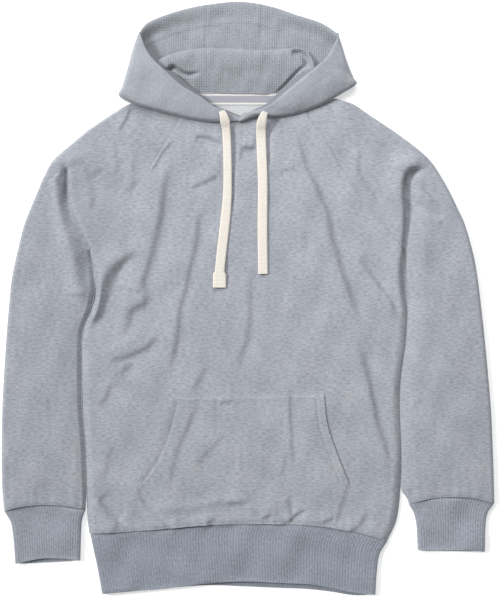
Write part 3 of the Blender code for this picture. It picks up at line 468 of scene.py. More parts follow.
raglans = [
    Sides(71.5, -229, 225), Sides(98, -208, 205), Sides(126, -188, 181), Sides(164, -161, 153),
    Sides(192, -142, 136), Sides(229, -119, 115), Sides(251, -106, 99), Sides(280, -88, 80),
]
hem = [
    Seam(0, -340.5, -427.5, -427.5), Seam(0.12, -337.5, -423, -423.8),
    Seam(0.26, -333, -417.5, -419), Seam(0.39, -327.8, -412, -415.5),
    Seam(0.51, -326, -408.5, -417), Seam(0.63, -326.3, -410.5, -419),
    Seam(0.75, -328.5, -413, -421), Seam(0.84, -332.5, -418.5, -425),
    Seam(0.92, -339.5, -425, -430), Seam(1, -350.5, -428.5, -428.5),
]
hemSides = [Sides(0, -229, 202.5), Sides(0.25, -224.5, 191), Sides(0.6, -218, 187), Sides(1, -212, 185)]
hoodHem = [Level(-187, 295), Level(-132, 273), Level(-90, 261), Level(-15, 253), Level(52, 264),
           Level(85, 273), Level(126, 292), Level(157, 312)]

# A shade fold falls away on its path's left and a soft one is a rounded ridge or trough. Each path goes
# down or to the left, so that its falling side is turned from the light.
folds = [
    Fold(2.2, 4.3, [(-236, 195), (-229, 166), (-223, 144), (-232, 129)]),
    Fold(2.1, 3.6, [(-194, 228), (-190, 202), (-184, 185)]),
    Fold(1.8, 4.3, [(-168, 202), (-165, 173), (-171, 156)]),
    Fold(3.0, 2.9, [(-170, 279), (-177, 260), (-187, 243)]),
    Fold(1.8, 2.9, [(-107, 231), (-123, 214), (-132, 198), (-142, 182)]),
    Fold(1.1, 4.3, [(-84, 251), (-99, 250), (-110, 248)]),
    Fold(3.8, 3.6, [(-35, 225), (-55, 234), (-77, 237)]),
    Fold(6.6, 7.8, [(-107, 199), (-119, 173), (-123, 144), (-126, 122), (-132, 93), (-139, 64), (-146, 42),
        (-152, 21), (-146, 3), (-151, -8), (-168, -16), (-174, -37), (-187, -58)]),
    Fold(3.3, 4.3, [(-42, 180), (-51, 176), (-65, 169), (-83, 161)]),
    Fold(4.3, 4.6, [(-61, 141), (-71, 115), (-74, 86), (-81, 57), (-86, 35), (-90, 13), (-97, -8),
        (-100, -30), (-103, -59), (-109, -88), (-112, -111)]),
    Fold(8.0, 7.2, [(-160, 71), (-183, 54), (-197, 38), (-206, 21), (-212, -1), (-215, -18), (-226, -37),
        (-238, -42)]),
    Fold(1.9, 2.9, [(-154, 8), (-167, 13), (-186, 18)]),
    Fold(6.2, 7.0, [(68, 243), (78, 216), (84, 195), (91, 180), (100, 163), (107, 144), (115, 127),
        (119, 108), (123, 86), (130, 64), (136, 42), (144, 21), (151, -1), (160, -23), (167, -50)]),
    Fold(2.5, 5.1, [(162, 219), (162, 180), (177, 158), (190, 138)]),
    Fold(2.0, 5.4, [(139, 259), (162, 251), (180, 238), (200, 227)]),
    Fold(2.4, 3.6, [(246, 163), (270, 145)]),
    Fold(4.0, 4.3, [(241, 135), (267, 121), (284, 116)]),
    Fold(5.4, 4.6, [(157, 57), (173, 42), (184, 28), (194, 13), (206, -1), (216, -24)]),
    Fold(1.4, 2.9, [(187, 125), (199, 108), (207, 93)]),
    Fold(2.2, 4.3, [(64, 185), (52, 192)]),
    Fold(1.6, 3.6, [(81, 100), (84, 71)]),
    Fold(4.6, 5.1, [(-132, -52), (-145, -69), (-160, -76), (-178, -84), (-203, -89)]),
    Fold(3.8, 5.1, [(-167, -91), (-175, -101), (-186, -105)]),
    Fold(3.7, 5.8, [(-199, -121), (-204, -139), (-216, -156)]),
    Fold(2.7, 4.3, [(-61, -98), (-70, -117), (-80, -132)]),
    Fold(2.5, 5.2, [(-77, -153), (-83, -175), (-91, -192), (-99, -211), (-106, -233), (-110, -255),
        (-115, -274)]),
    Fold(1.9, 5.8, [(-35, -194), (-48, -211), (-62, -226), (-78, -243)]),
    Fold(0.7, 4.3, [(-46, -265), (-61, -274), (-75, -288)]),
    Fold(2.0, 5.8, [(-197, -214), (-204, -240), (-210, -262)]),
    Fold(7.2, 5.8, [(-218, -288), (-200, -313), (-184, -326)]),
    Fold(4.0, 4.3, [(-165, -277), (-142, -306), (-116, -330)]),
    Fold(9.5, 5.8, [(-49, -332), (-70, -340), (-91, -343), (-116, -340)]),
    Fold(2.3, 4.3, [(-45, -314), (-62, -327)]),
    Fold(3.5, 4.3, [(3, -294), (-14, -294), (-32, -297)]),
    Fold(2.7, 3.6, [(-23, -149), (-41, -149)]),
    Fold(3.0, 4.3, [(4, 50), (3, -1), (3, -30), (-1, -59), (-10, -81), (-17, -105)]),
    Fold(5.2, 6.0, [(154, -56), (165, -81), (174, -110), (180, -139), (186, -168), (191, -190), (199, -211),
        (204, -233), (204, -248)]),
    Fold(2.3, 3.8, [(61, -117), (61, -153), (62, -182), (64, -211), (67, -250)]),
    Fold(1.8, 3.8, [(55, -221), (49, -258)]),
    Fold(2.8, 3.5, [(57, -285), (61, -306), (61, -326)]),
    Fold(3.6, 2.9, [(83, -304), (71, -311), (59, -324)]),
    Fold(8.6, 4.6, [(58, -330), (39, -337), (20, -342), (3, -343)]),
    Fold(3.8, 3.6, [(33, -314), (20, -317)]),
    Fold(3.3, 3.6, [(125, -317), (107, -323)]),
    Fold(3.0, 4.3, [(173, -308), (162, -327), (141, -340), (122, -343)]),
    Fold(1.0, 5.1, [(255, -142), (241, -152), (235, -168)]),
    Fold(0.4, 5.8, [(278, -248), (267, -262)]),
    Fold(0.4, 5.8, [(-302, -143), (-316, -161)]),
    Fold(0.4, 5.8, [(-273, -248), (-287, -265), (-307, -274)]),
    Fold(0.3, 5.1, [(-316, -288), (-328, -300)]),
    Fold(0.5, 5.1, [(322, -245), (300, -262), (278, -271)]),
    Fold(-4.5, 5.1, [(-22, 257), (-20, 231), (-22, 202), (-25, 173), (-26, 127)], "soft"),
    Fold(-2.9, 4.3, [(29, 254), (30, 224), (28, 190)], "soft"),
    Fold(6.3, 5.1, [(13, 221), (1, 219), (-10, 221)]),
    Fold(3.0, 11.0, [(-283, 187), (-264, 202), (-246, 206), (-228, 198), (-216, 180)], "soft"),
    Fold(2.4, 11.0, [(-196, 66), (-214, 28), (-222, -10), (-230, -34)], "soft"),
    Fold(2.4, 9.0, [(252, 200), (232, 199), (210, 190)], "soft"),
    Fold(1.6, 9.0, [(-150, -38), (-178, -66), (-214, -76)], "soft"),
    Fold(1.8, 7.0, [(-140, -302), (-80, -300), (-30, -290), (10, -304), (36, -306)], "soft"),
]
# Where a sleeve's cap lies over the sleeve: the cap's step, the hollow beside it and the sleeve's swell
overlaps = {
    "left": {
        "path": [(-277, 194), (-269, 195), (-264.5, 190), (-263, 170), (-260, 141), (-254, 120), (-244, 100),
                 (-237, 84), (-230.5, 70), (-228, 50), (-225.5, 35), (-222, 20), (-219, 4), (-229, -30)],
        "step": (5.0, 5.0), "stepWidth": 22.0, "dip": (12.0, 5.5), "dipAt": 0.0, "dipWidth": (6.0, 11.0),
        "swell": (6.0, 9.5), "swellAt": (15.0, 24.0), "swellWidth": (8.0, 13.0), "side": -1.0},
    "right": {
        "path": [(262, 187), (249, 189), (235, 185.5), (228, 173), (227, 151), (229, 129.5), (227.6, 100.5),
                 (225, 57), (227, 13.5), (231, -30)],
        "step": (8.5, 3.5), "stepWidth": 24.0, "dip": (8.5, 4.5), "dipAt": 5.0, "dipWidth": (6.0, 6.5),
        "swell": (1.5, 1.5), "swellAt": (30.0, 30.0), "swellWidth": (12.0, 12.0), "side": 1.0},
}
pits = [    # the armpits' hollows that get painted shade; widths at the start and the end
    {"path": [(-262, 194), (-264.5, 176), (-266, 158), (-268.5, 134)], "width": (1.8, 4.5), "shade": 1.3},
    {"path": [(225, 178), (231, 164), (232, 152)], "width": (3.5, 3.5), "shade": 0.5},
    {"path": [(230, 148), (234, 134), (242, 124)], "width": (3.0, 4.5), "shade": 0.55},
]
foldShape = {"ends": 0.2, "steep": 1.6, "tail": 3.0, "cut": 4.0, "reach": 5.0, "margin": 6.0}
overlapReach = {"across": 80.0, "foot": -60.0, "head": 240.0, "start": 0.12, "end": 0.22, "edge": 2.0}
ripples = [    # height, waves a metre across and up, where the wave starts
    (0.45, 9.0, 3.0, 0.4), (0.36, -4.0, 10.0, 1.9), (0.30, 14.0, -8.0, 2.6), (0.26, 6.0, 17.0, 0.9),
    (0.20, -19.0, 9.0, 4.1), (0.17, 23.0, 12.0, 5.2), (0.14, -11.0, -25.0, 3.3), (0.12, 34.0, -6.0, 1.2),
]


def smoothPath(path, step=7.0):
    points = np.array(path, float)
    line = []
    for index in range(len(points) - 1):
        parts = max(int(np.linalg.norm(points[index + 1] - points[index]) / step), 1)
        line += [smoothSpan(points, index, part) for part in np.arange(parts) / parts]
    return np.array(line + [points[-1]])


def nearPath(line, x, y):
    # signed distance from a line, positive on its left, and how far along it the nearest point is
    away = np.full(len(x), 1e9)
    side = np.ones(len(x))
    along = np.zeros(len(x))
    for index in range(len(line) - 1):
        (ax, ay), (bx, by) = line[index], line[index + 1]
        dx, dy = bx - ax, by - ay
        part = np.clip(((x - ax) * dx + (y - ay) * dy) / (dx * dx + dy * dy), 0.0, 1.0)
        gap = np.hypot(x - ax - dx * part, y - ay - dy * part)
        nearer = gap < away
        away = np.where(nearer, gap, away)
        side = np.where(nearer, np.where(dx * (y - ay) - dy * (x - ax) > 0, 1.0, -1.0), side)
        along = np.where(nearer, (index + part) / (len(line) - 1), along)
    return away * side, along


foldLines = [smoothPath(fold.path) for fold in folds]
cordLines = [np.array([(stop.x, stop.y) for stop in route if stop.y < cordShape["lyingY"]])
             for route in (cordLeft, cordRight)]
for shape in list(overlaps.values()) + pits:
    shape["line"] = smoothPath(shape["path"], 5.0)


def foldRelief(x, y):
    total = np.zeros(len(x))
    for fold, line in zip(folds, foldLines):
        reach = foldShape["reach"] * fold.width + foldShape["margin"]
        low, high = line.min(0) - reach, line.max(0) + reach
        near = np.nonzero((x > low[0]) & (x < high[0]) & (y > low[1]) & (y < high[1]))[0]
        if not len(near):
            continue
        distance, along = nearPath(line, x[near], y[near])
        ends = ease(along / foldShape["ends"] + 0.1) * ease((1.0 - along) / foldShape["ends"] + 0.1)
        height = fold.height * ends
        height = height * hump(np.maximum(np.abs(distance) - foldShape["cut"] * fold.width, 0.0), 4.0)
        part = distance / fold.width
        if fold.kind == "soft":
            lift = hump(part, 1.0)
        else:
            lift = -0.5 * np.tanh(foldShape["steep"] * part) * hump(part, foldShape["tail"])
        total[near] += height * lift
    for shape in overlaps.values():
        line = shape["line"]
        beside = np.abs(x - line[:, 0].mean()) < overlapReach["across"]
        near = np.nonzero(beside & (y > overlapReach["foot"]) & (y < overlapReach["head"]))[0]
        distance, along = nearPath(line, x[near], y[near])
        away = distance * shape["side"]     # positive on the sleeve's side
        fade = ease(along / overlapReach["start"]) * ease((1.0 - along) / overlapReach["end"])
        lower = ease((along - 0.2) / 0.35)
        step, dip, dipWidth, swell, swellAt, swellWidth = (
            mix(*shape[name], lower)
            for name in ("step", "dip", "dipWidth", "swell", "swellAt", "swellWidth"))
        outer = swell * hump(away - swellAt, swellWidth)
        outer -= dip * np.exp(-np.maximum(away - shape["dipAt"], 0.0) / dipWidth)
        inner = mix(step, -dip, np.exp(np.minimum(away, 0.0) / overlapReach["edge"]))
        inner *= hump(np.minimum(away, 0.0), shape["stepWidth"])
        total[near] += fade * np.where(away > 0.0, outer, inner)
    return total


def armpitPaintedShade(x, y):     # painted shade for how far the cloth turns under at the armpits
    total = np.zeros(len(x))
    for pit in pits:
        distance, along = nearPath(pit["line"], x, y)
        shade = pit["shade"] * hump(distance, mix(*pit["width"], along))
        total += shade * ease(along / 0.15) * ease((1.0 - along) / 0.45)
    return total


def rippleRelief(x, y):
    total = np.zeros(len(x))
    for height, waveX, waveY, start in ripples:
        total += height * np.sin(2.0 * math.pi * (waveX * x + waveY * y) * mm + start)
    return total


def lieAt(x, y):        # height of the outer face of the front layer
    belowHood = ease((read(hoodHem, x, "z") - y) / body["hoodFade"])
    raised = body["lie"] + belowHood * foldRelief(x, y) + rippleRelief(x, y)
    puffed = ease((np.abs(x - body["puffMiddle"]) - body["puffFrom"]) / body["puffOver"])
    raised += body["puff"] * puffed * belowHood
    near = np.nonzero((x > body["cordLeft"]) & (x < body["cordRight"]) & (y > body["cordFoot"]))[0]
    for line in cordLines:      # the cloth stays under the cords
        distance, _ = nearPath(line, x[near], y[near])
        under = hump(np.maximum(np.abs(distance) - 8.0, 0.0), 3.0)
        raised[near] -= under * np.maximum(raised[near] - body["underCord"], 0.0)
    return smoothMax(raised, body["lowest"], 0.4)


def sideX(side, y):
    return np.where(y < body["underarmY"], read(bodySides, y, side), read(raglans, y, side))


def hemSeamY(x):
    part = (x - hemSides[0].left) / (hemSides[0].right - hemSides[0].left)
    return read(hem, part, "seam")


def seamShown(x, y):        # the raglan seams are plainest at the neck, and on the right
    high = ease((y - body["seamFrom"]) / body["seamOver"])
    return np.where(x < 0, mix(*body["seamLeft"], high), mix(*body["seamRight"], high))


def closing(y):
    return ease((body["underarmY"] - y) / body["underarmEase"])


# ---- body

print("body")


def footY(across):
    foot = hemSeamY(np.zeros(len(across)))
    for _ in range(6):
        foot = hemSeamY(mix(sideX("left", foot), sideX("right", foot), across)) + body["seam"] / 2
    return foot


def frontY(across, along):
    neck = body["frontNeckY"] - body["neckDrop"] * (1.0 - (2.0 * across - 1.0) ** 2)
    return stages(along, body["lowerShare"], footY(across), body["underarmY"], neck)


def frontPlace(u, along):
    across = bunched(u, 0.35)
    y = frontY(across, along)
    left = sideX("left", frontY(np.zeros(len(u)), along))
    right = sideX("right", frontY(np.ones(len(u)), along))
    x = mix(left, right, across)
    near = np.minimum(x - left, right - x)
    closed = closing(y)
    raglan = (1.0 - closed) * hump(near, body["seamWidth"]) * seamShown(x, y)
    foot = y - footY(across)
    lie = lieAt(x, y) - body["seamDip"] * raglan - 0.6 * hump(foot, 3.0)
    lie += 0.7 * hump(foot - 6.5, 4.0) + 0.5 * (1.0 - closed) * hump(near - 4.5, 3.0) * seamShown(x, y)
    lie += 0.35 * np.sin(x * 0.42 + 2.0 * np.sin(x * 0.05)) * np.exp(-foot / 16.0) * (1.0 - hump(foot, 4.0))
    z = mix(lie, body["fleece"] + 2.0 * body["seam"], closed * (1.0 - softRoll(near, body["sideRoll"])))
    stitch = np.minimum(np.abs(foot) + 0.5, noStitch)
    return laid(x, y, z, stitchSide=stitch, stitchRun=x)


piece = makeCloth("body_front", [(body["columns"], body["rows"], frontPlace, False)], body["fleece"], fleece)


def backRaglanX(side, y):
    reach = (y - body["underarmY"]) / (body["backNeckY"] - body["underarmY"])
    return read(raglans, mix(body["underarmY"], body["frontNeckY"], reach), side)


def backPlace(across, along):
    above = along > body["lowerShare"]
    footLeft, footRight = footY(np.zeros(len(across))), footY(np.ones(len(across)))
    leftY, rightY = (stages(along, body["lowerShare"], foot, body["underarmY"], body["backNeckY"])
                     for foot in (footLeft, footRight))
    left = np.where(above, backRaglanX("left", leftY) + body["seam"] / 2, sideX("left", leftY))
    right = np.where(above, backRaglanX("right", rightY) - body["seam"] / 2, sideX("right", rightY))
    x, y = mix(left, right, across), mix(leftY, rightY, across)
    foot = mix(footLeft, footRight, across)
    y += (hemSeamY(x) + body["seam"] / 2 - foot) * (1.0 - ease(along / 0.2))
    near = np.minimum(x - left, right - x)
    z = 0.25 + 0.12 * rippleRelief(x, y) + 0.5 * hump(near, 2.0)
    return laid(x, y, np.maximum(z, 0.0), stitchSide=np.where(above, near, noStitch), stitchRun=y)


piece = makeCloth("body_back", [(body["backColumns"], body["backRows"], backPlace, True)], body["backFleece"],
                  fleece)


# ---- pocket

print("pocket")
pocket = {"cloth": 1.4, "columns": 150, "rows": 96, "cornerY": -271.0, "cornerShare": 0.33, "standing": 0.5}
pocketLines = [
    Sides(-271, -169, 148), Sides(-232, -142, 132), Sides(-182, -122, 115), Sides(-138, -113, 110),
    Sides(-60, -108, 104), Sides(70, -98, 92), Sides(170, -75, 68), Sides(262, -45, 40),
]
pocketFoot = Sides(-333, -146, 128)
pocketTop = Sides(-138, -142, -133)
pocketTopParts = (0.34, 0.66)


def pocketX(side, y):
    part = (y - pocketFoot.y) / (pocket["cornerY"] - pocketFoot.y)
    lower = mix(getattr(pocketFoot, side), getattr(pocketLines[0], side), part)
    return np.where(y < pocket["cornerY"], lower, read(pocketLines, y, side))


def pocketPlace(u, v):
    def topY(wide):
        return mix(pocketTop.left, pocketTop.right, ease(wide))

    def rowY(foot, top):
        return stages(v, pocket["cornerShare"], foot, pocket["cornerY"], top)

    zero = np.zeros(len(u))
    top = topY(mix(*pocketTopParts, u))
    foot = hemSeamY(mix(pocketFoot.left, pocketFoot.right, u)) + body["seam"] / 2
    y = rowY(foot, top)
    left = pocketX("left", rowY(hemSeamY(zero + pocketFoot.left), topY(pocketTopParts[0])))
    right = pocketX("right", rowY(hemSeamY(zero + pocketFoot.right), topY(pocketTopParts[1])))
    x = mix(left, right, bunched(u, 0.3))
    near = np.minimum(x - left, right - x)
    opening = ease((y - pocket["cornerY"]) / 14.0) * ease((pocketTop.right - 4.0 - y) / 16.0)
    upper = top - y
    lowerSide = np.where(y < pocket["cornerY"] + 4.0, near, noStitch)
    sewn = np.minimum(np.minimum(upper, lowerSide), y - foot)
    z = lieAt(x, y) + mix(0.3, 1.5, ease(sewn / 8.0))
    z += 0.3 * hump(sewn - 6.5, 3.0)
    z += opening * (pocket["standing"] * hump(near, 6.0) - 0.7 * hump(near - 11.6, 2.4))
    z += 0.3 * np.sin(x * 0.4) * np.exp(-(y - foot) / 12.0)
    stitch = np.minimum(sewn, np.where(opening > 0.02, np.maximum(near - 3.6, 0.0) * 0.98, noStitch))
    run = np.where(np.minimum(upper, y - foot) < near, x, y)
    return laid(x, y, z, stitchSide=stitch, stitchRun=run)


piece = makeCloth("pocket", [(pocket["columns"], pocket["rows"], pocketPlace, False)], pocket["cloth"],
                  fleece)


# ---- sleeves

print("sleeves")
sleeve = {"foldLie": 4.0, "foldRoll": 6.0, "leastLie": 3.9, "puff": 2.4, "innerLie": 2.9, "innerRoll": 6.0,
          "dip": (1.0, 4.4), "dipWidth": (10.0, 13.0), "clearance": 0.4, "shoulderY": 109.0, "under": 0.60,
          "columns": 100, "rows": 235, "topShare": 0.74, "capFoot": 118.0, "capOver": 70.0}
sleeveFolds = [
    Sides(-307, -354, 358), Sides(-276, -357, 357.5), Sides(-227, -358, 356), Sides(-160, -357, 353),
    Sides(-100, -354, 348), Sides(-30, -349, 341), Sides(28, -343.5, 334), Sides(63, -336.5, 328),
    Sides(109, -325, 315), Sides(132, -316, 304.5), Sides(156, -306, 293), Sides(179, -296, 280),
    Sides(202, -283, 264), Sides(225, -257, 238), Sides(248, -229, 206), Sides(272, -193, 170),
    Sides(284, -171, 152), Sides(291.5, -141, 128),
]
cuffLeft = [
    Seam(0, -305, -379, -379), Seam(0.25, -300, -376, -381),
    Seam(0.55, -298.5, -375.5, -382.5), Seam(0.80, -301.5, -379.5, -383.8),
    Seam(1, -307.5, -384, -384),
]
cuffLeftSides = [Sides(0, -236, -354), Sides(0.2, -241, -345), Sides(0.5, -242.5, -341),
                 Sides(1, -243.6, -338)]
cuffRight = [
    Seam(0, -297, -364.5, -364.5), Seam(0.25, -289.5, -363.5, -365.5),
    Seam(0.55, -287, -363.8, -366), Seam(0.80, -289.5, -365, -366.5),
    Seam(1, -296.5, -366.3, -366.3),
]
cuffRightSides = [Sides(0, 233.5, 357), Sides(0.2, 241, 348), Sides(0.5, 245, 345), Sides(1, 246.5, 344)]


def sleevePlace(side, cuff, cuffSides):
    sign = -1.0 if side == "left" else 1.0
    underarm, seamIn, seamOut = body["underarmY"], cuff[0].seam, cuff[-1].seam
    start = sleeve["topShare"]
    dip, dipWidth = (sleeve[name][int(sign > 0)] for name in ("dip", "dipWidth"))

    def place(around, along):
        down = np.clip(1.0 - along / sleeve["under"], 0.0, 1.0)
        reach = np.clip((along - sleeve["under"]) / (1.0 - sleeve["under"]), 0.0, 1.0)
        above = along > sleeve["under"]
        closed = np.where(above, 0.0, 1.0)
        rise = mix(np.sin(reach * math.pi / 2), reach, 0.35)
        frontY = stages(along, sleeve["under"], seamIn, underarm, body["frontNeckY"])
        backY = np.where(above, mix(underarm, body["backNeckY"], reach), frontY)
        outerY = np.where(above, mix(sleeve["shoulderY"], sleeveFolds[-1].y, rise),
                          mix(sleeve["shoulderY"], seamOut, down))
        gap = sign * mix(sleeve["clearance"], body["seam"] / 2, ease(reach * 8.0))
        frontX, outerX = sideX(side, frontY) + gap, read(sleeveFolds, outerY, side)
        # the last rows come in to the cuff's own corners
        frontX = mix(frontX, cuffSides[0].left, ease((down - 0.93) / 0.07))
        backX = np.where(above, backRaglanX(side, backY) + gap, frontX)
        onTop = around <= start
        part = np.where(onTop, bunched(around / start, 0.62), bunched((1.0 - around) / (1.0 - start), 0.6))
        baseX, baseY = np.where(onTop, frontX, backX), np.where(onTop, frontY, backY)
        width = np.hypot(outerX - baseX, outerY - baseY)
        x, y = mix(baseX, outerX, part), mix(baseY, outerY, part)
        bow = ease((down - 0.8) / 0.2)
        y = y + bow * (read(cuff, part, "seam") - mix(seamIn, seamOut, part) + body["seam"] / 2)
        inward, outward = part * width, (1.0 - part) * width
        foot = np.maximum(y - read(cuff, part, "seam"), 0.0)
        puckers = np.sin(x * 0.36 + 1.7 * np.sin(x * 0.08)) * np.exp(-foot / 22.0) * (1.0 - hump(foot, 3.0))
        top = lieAt(x, y) - dip * closed * ease(down * 5.0) * hump(inward, dipWidth)
        top += sleeve["puff"] * np.sin(math.pi * part) ** 0.7 * ease(down * 2.5) * ease((1.0 - down) * 8.0)
        top = smoothMax(top, sleeve["leastLie"], 0.3)
        top += 0.55 * puckers - 0.6 * hump(foot, 2.6) + 0.6 * hump(foot - 6.0, 4.0)
        seamed = body["seamDip"] * hump(inward, body["seamWidth"]) * seamShown(x, y)
        top -= np.where(above, seamed, 0.0)
        top = mix(sleeve["foldLie"], top, roll(outward, sleeve["foldRoll"]))
        top = np.where(above, top, mix(sleeve["innerLie"], top, softRoll(inward, sleeve["innerRoll"])))
        low = sleeve["foldLie"] * (1.0 - roll(outward, sleeve["foldRoll"]))
        lowIn = np.where(above, 0.0, sleeve["innerLie"] * (1.0 - roll(inward, sleeve["innerRoll"])))
        z = np.where(onTop, top, np.maximum(low, lowIn))
        u = np.where(onTop, inward, 2.0 * width - inward) * sign
        stitch = np.minimum(np.where(above & onTop, np.maximum(inward, 0.0) + 40.0, noStitch), foot + 0.5)
        cap = ease((y - sleeve["capFoot"] + 0.12 * np.abs(x)) / sleeve["capOver"]) * (1.0 - closed)
        # painted shade at the armpits, carried by the inner attribute
        inner = np.where(onTop, armpitPaintedShade(x, y), 0.0)
        return laid(x, y, z, stitchSide=stitch, stitchRun=x, cap=cap, inner=inner) | {"u": u}

    return place


ribbing = {"cloth": 2.2, "relief": 0.2, "ripple": 2.2, "roll": 6.0, "depth": 90.0, "rows": 26,
           "hemRibs": 100, "hemColumns": 7, "cuffRibs": 28, "cuffColumns": 8, "floorColumns": (90, 40)}


def bandPlace(table, sides, ribs, lies, topShare):
    sideOne, sideTwo, seamLie, edgeLie = lies

    def place(around, along):
        down = 1.0 - along
        onTop = around <= topShare
        part = np.where(onTop, around / topShare, (1.0 - around) / (1.0 - topShare))
        one, two = read(sides, down, "left"), read(sides, down, "right")
        width = np.abs(two - one)
        end = np.where(onTop, read(table, part, "front"), read(table, part, "back"))
        y = mix(read(table, part, "seam") - 1.5 * body["seam"], end, down)
        x = mix(one, two, part)
        height = mix(seamLie, edgeLie, down)
        wave = 0.5 - 0.5 * np.cos(2.0 * math.pi * part * ribs)
        ridge = wave ** 0.8
        lip = np.minimum(down, 1.0 - down) * np.abs(end - read(table, part, "seam"))
        fade = ease(lip / 2.5)
        relief = ribbing["relief"] * ridge * mix(0.35, 1.0, fade)
        relief += rippleRelief(x * 0.8, y * 1.1) * ribbing["ripple"] * fade
        lipped = hump((1.0 - down) * ribbing["depth"], 3.0) - hump(down * ribbing["depth"], 2.2)
        height = height + np.where(onTop, 0.9 * lipped, 0.0)
        low = mix(sideOne, height, roll(part * width, ribbing["roll"]))
        top = mix(sideTwo, low, roll((1.0 - part) * width, ribbing["roll"])) + relief
        up = sideOne * (1.0 - roll(part * width, ribbing["roll"]))
        up = np.maximum(up, sideTwo * (1.0 - roll((1.0 - part) * width, ribbing["roll"])))
        z = np.where(onTop, top, up + 0.25 * ridge)
        edge = np.minimum(part, 1.0 - part) * width
        z = np.where(edge < 0.05, mix(sideOne, sideTwo, part), z)
        u = np.where(onTop, part * width, 2.0 * width - part * width)
        # groove also sets the rib's painted shade in its hollows
        return laid(x, y, z, groove=1.0 - ridge) | {"u": u}

    return place


for side, cuff, cuffSides, finish, size in (
        ("left", cuffLeft, cuffLeftSides, sleeveLeftFleece, 0.140),
        ("right", cuffRight, cuffRightSides, sleeveRightFleece, 0.136)):
    turned = side == "left"
    piece = makeCloth("sleeve_" + side,
                      [(sleeve["columns"], sleeve["rows"], sleevePlace(side, cuff, cuffSides), turned)],
                      body["fleece"], finish)
    ribs = ribbing["cuffRibs"]
    columns = ribs * ribbing["cuffColumns"] + ribbing["floorColumns"][1]
    place = bandPlace(cuff, cuffSides, ribs, (3.2, 4.0, 7.2, 7.0), ribs * ribbing["cuffColumns"] / columns)
    piece = makeCloth("cuff_" + side, [(columns, ribbing["rows"], place, turned)], ribbing["cloth"], cuffRibPaintedLight)

ribs = ribbing["hemRibs"]
columns = ribs * ribbing["hemColumns"] + ribbing["floorColumns"][0]
place = bandPlace(hem, hemSides, ribs, (4.0, 4.0, 7.4, 8.0), ribs * ribbing["hemColumns"] / columns)
piece = makeCloth("hem_band", [(columns, ribbing["rows"], place, False)], ribbing["cloth"], rib)


# ---- hood

print("hood")
hood = {"foldRoll": 8.0, "floorRoll": 12.0, "lipRoll": 14.0, "flapLie": 19.0, "crown": 2.5, "fullWidth": 60.0,
        "footY": 297.2, "columns": 44, "rows": 150, "cornerRow": 66, "floorColumns": 40,
        "corners": (6.0, 5.0), "bandShare": 0.2, "bandCurve": 0.9, "tilt": 7.0, "casing": 27.0,
        "rimRoll": 5.0}
flapLeft = [
    Flap(0, -156.6, 385.5, 19, -157, 385, 19), Flap(1, -153.5, 376.5, 23, -162.5, 374, 13.5),
    Flap(2, -147.5, 361.5, 25, -168, 358, 11), Flap(3, -137.5, 346.5, 26, -173, 340, 10),
    Flap(4, -125, 334.5, 26, -178, 322, 9.6), Flap(5, -112.5, 322, 25, -182.5, 308, 9.4),
    Flap(6, -99, 310, 24, -187, 295, 9.4), Flap(7, -85, 301, 22.5, -168.5, 283.5, 9.4),
    Flap(8, -69, 292.5, 21, -140, 274.5, 9.4), Flap(9, -57, 284, 19, -112, 267.5, 9.4),
    Flap(10, -46, 277, 17.5, -86, 261, 9.6), Flap(11, -37, 274, 16, -62, 257.5, 10),
    Flap(12, -25, 269, 13.5, -39, 256.5, 10.5), Flap(13, -7, 262.5, 10.9, -11, 259, 10.7),
]
flapRight = [
    Flap(0, 129.6, 383.5, 19, 130, 383, 19), Flap(1, 127.5, 374, 23, 136, 367, 13.5),
    Flap(2, 121, 361, 25, 141.5, 350, 11), Flap(3, 111.5, 346.5, 26, 147.5, 334, 10),
    Flap(4, 98.5, 334.5, 26, 153, 321, 9.6), Flap(5, 83, 321.5, 25, 157, 311.5, 9.4),
    Flap(6, 64.5, 306.5, 24, 135, 297.5, 9.4), Flap(7, 48, 293, 22.5, 113, 285, 9.4),
    Flap(8, 33, 281, 21, 88, 274.5, 9.4), Flap(9, 19, 275, 19, 64, 267.5, 9.5),
    Flap(10, 6, 271.5, 17.5, 40, 264.5, 9.9), Flap(11, -5.5, 268.5, 15, 14, 265, 12),
    Flap(12, -14.5, 258.5, 14, -9.5, 257.5, 12.8),
]
topRim = [
    Rim(-157, 385, 19), Rim(-147, 398, 17), Rim(-120, 411, 14), Rim(-84, 422, 11.5),
    Rim(-48, 428.5, 10), Rim(-10, 431.5, 9.5), Rim(33, 424.5, 10), Rim(68, 412.5, 12),
    Rim(107, 399, 15), Rim(130, 383, 19),
]
hoodSeams = (-59.5, 20.5)
# the band of the hem that shows inside each flap's rim
Band = namedtuple("Band", "station width drop")
bandLeft = [Band(0, 0.2, 0.4), Band(2, 1.5, 2), Band(4.2, 1.8, 3), Band(4.7, 9, 6),
            Band(5.2, 11.5, 8), Band(6, 10.5, 9), Band(7, 8.5, 9), Band(8, 4.5, 8),
            Band(9, 2, 5), Band(10.5, 2.5, 4), Band(12, 3, 5), Band(13, 2, 3)]
bandRight = [Band(0, 0.2, 0.4), Band(2, 1.5, 2), Band(4, 2, 3), Band(4.6, 9, 7),
             Band(5.1, 12, 9), Band(6, 11.5, 10), Band(7, 9.5, 10), Band(8, 8, 9),
             Band(9, 7, 7), Band(10, 2, 4), Band(11, 1.5, 3), Band(12, 1.5, 2)]


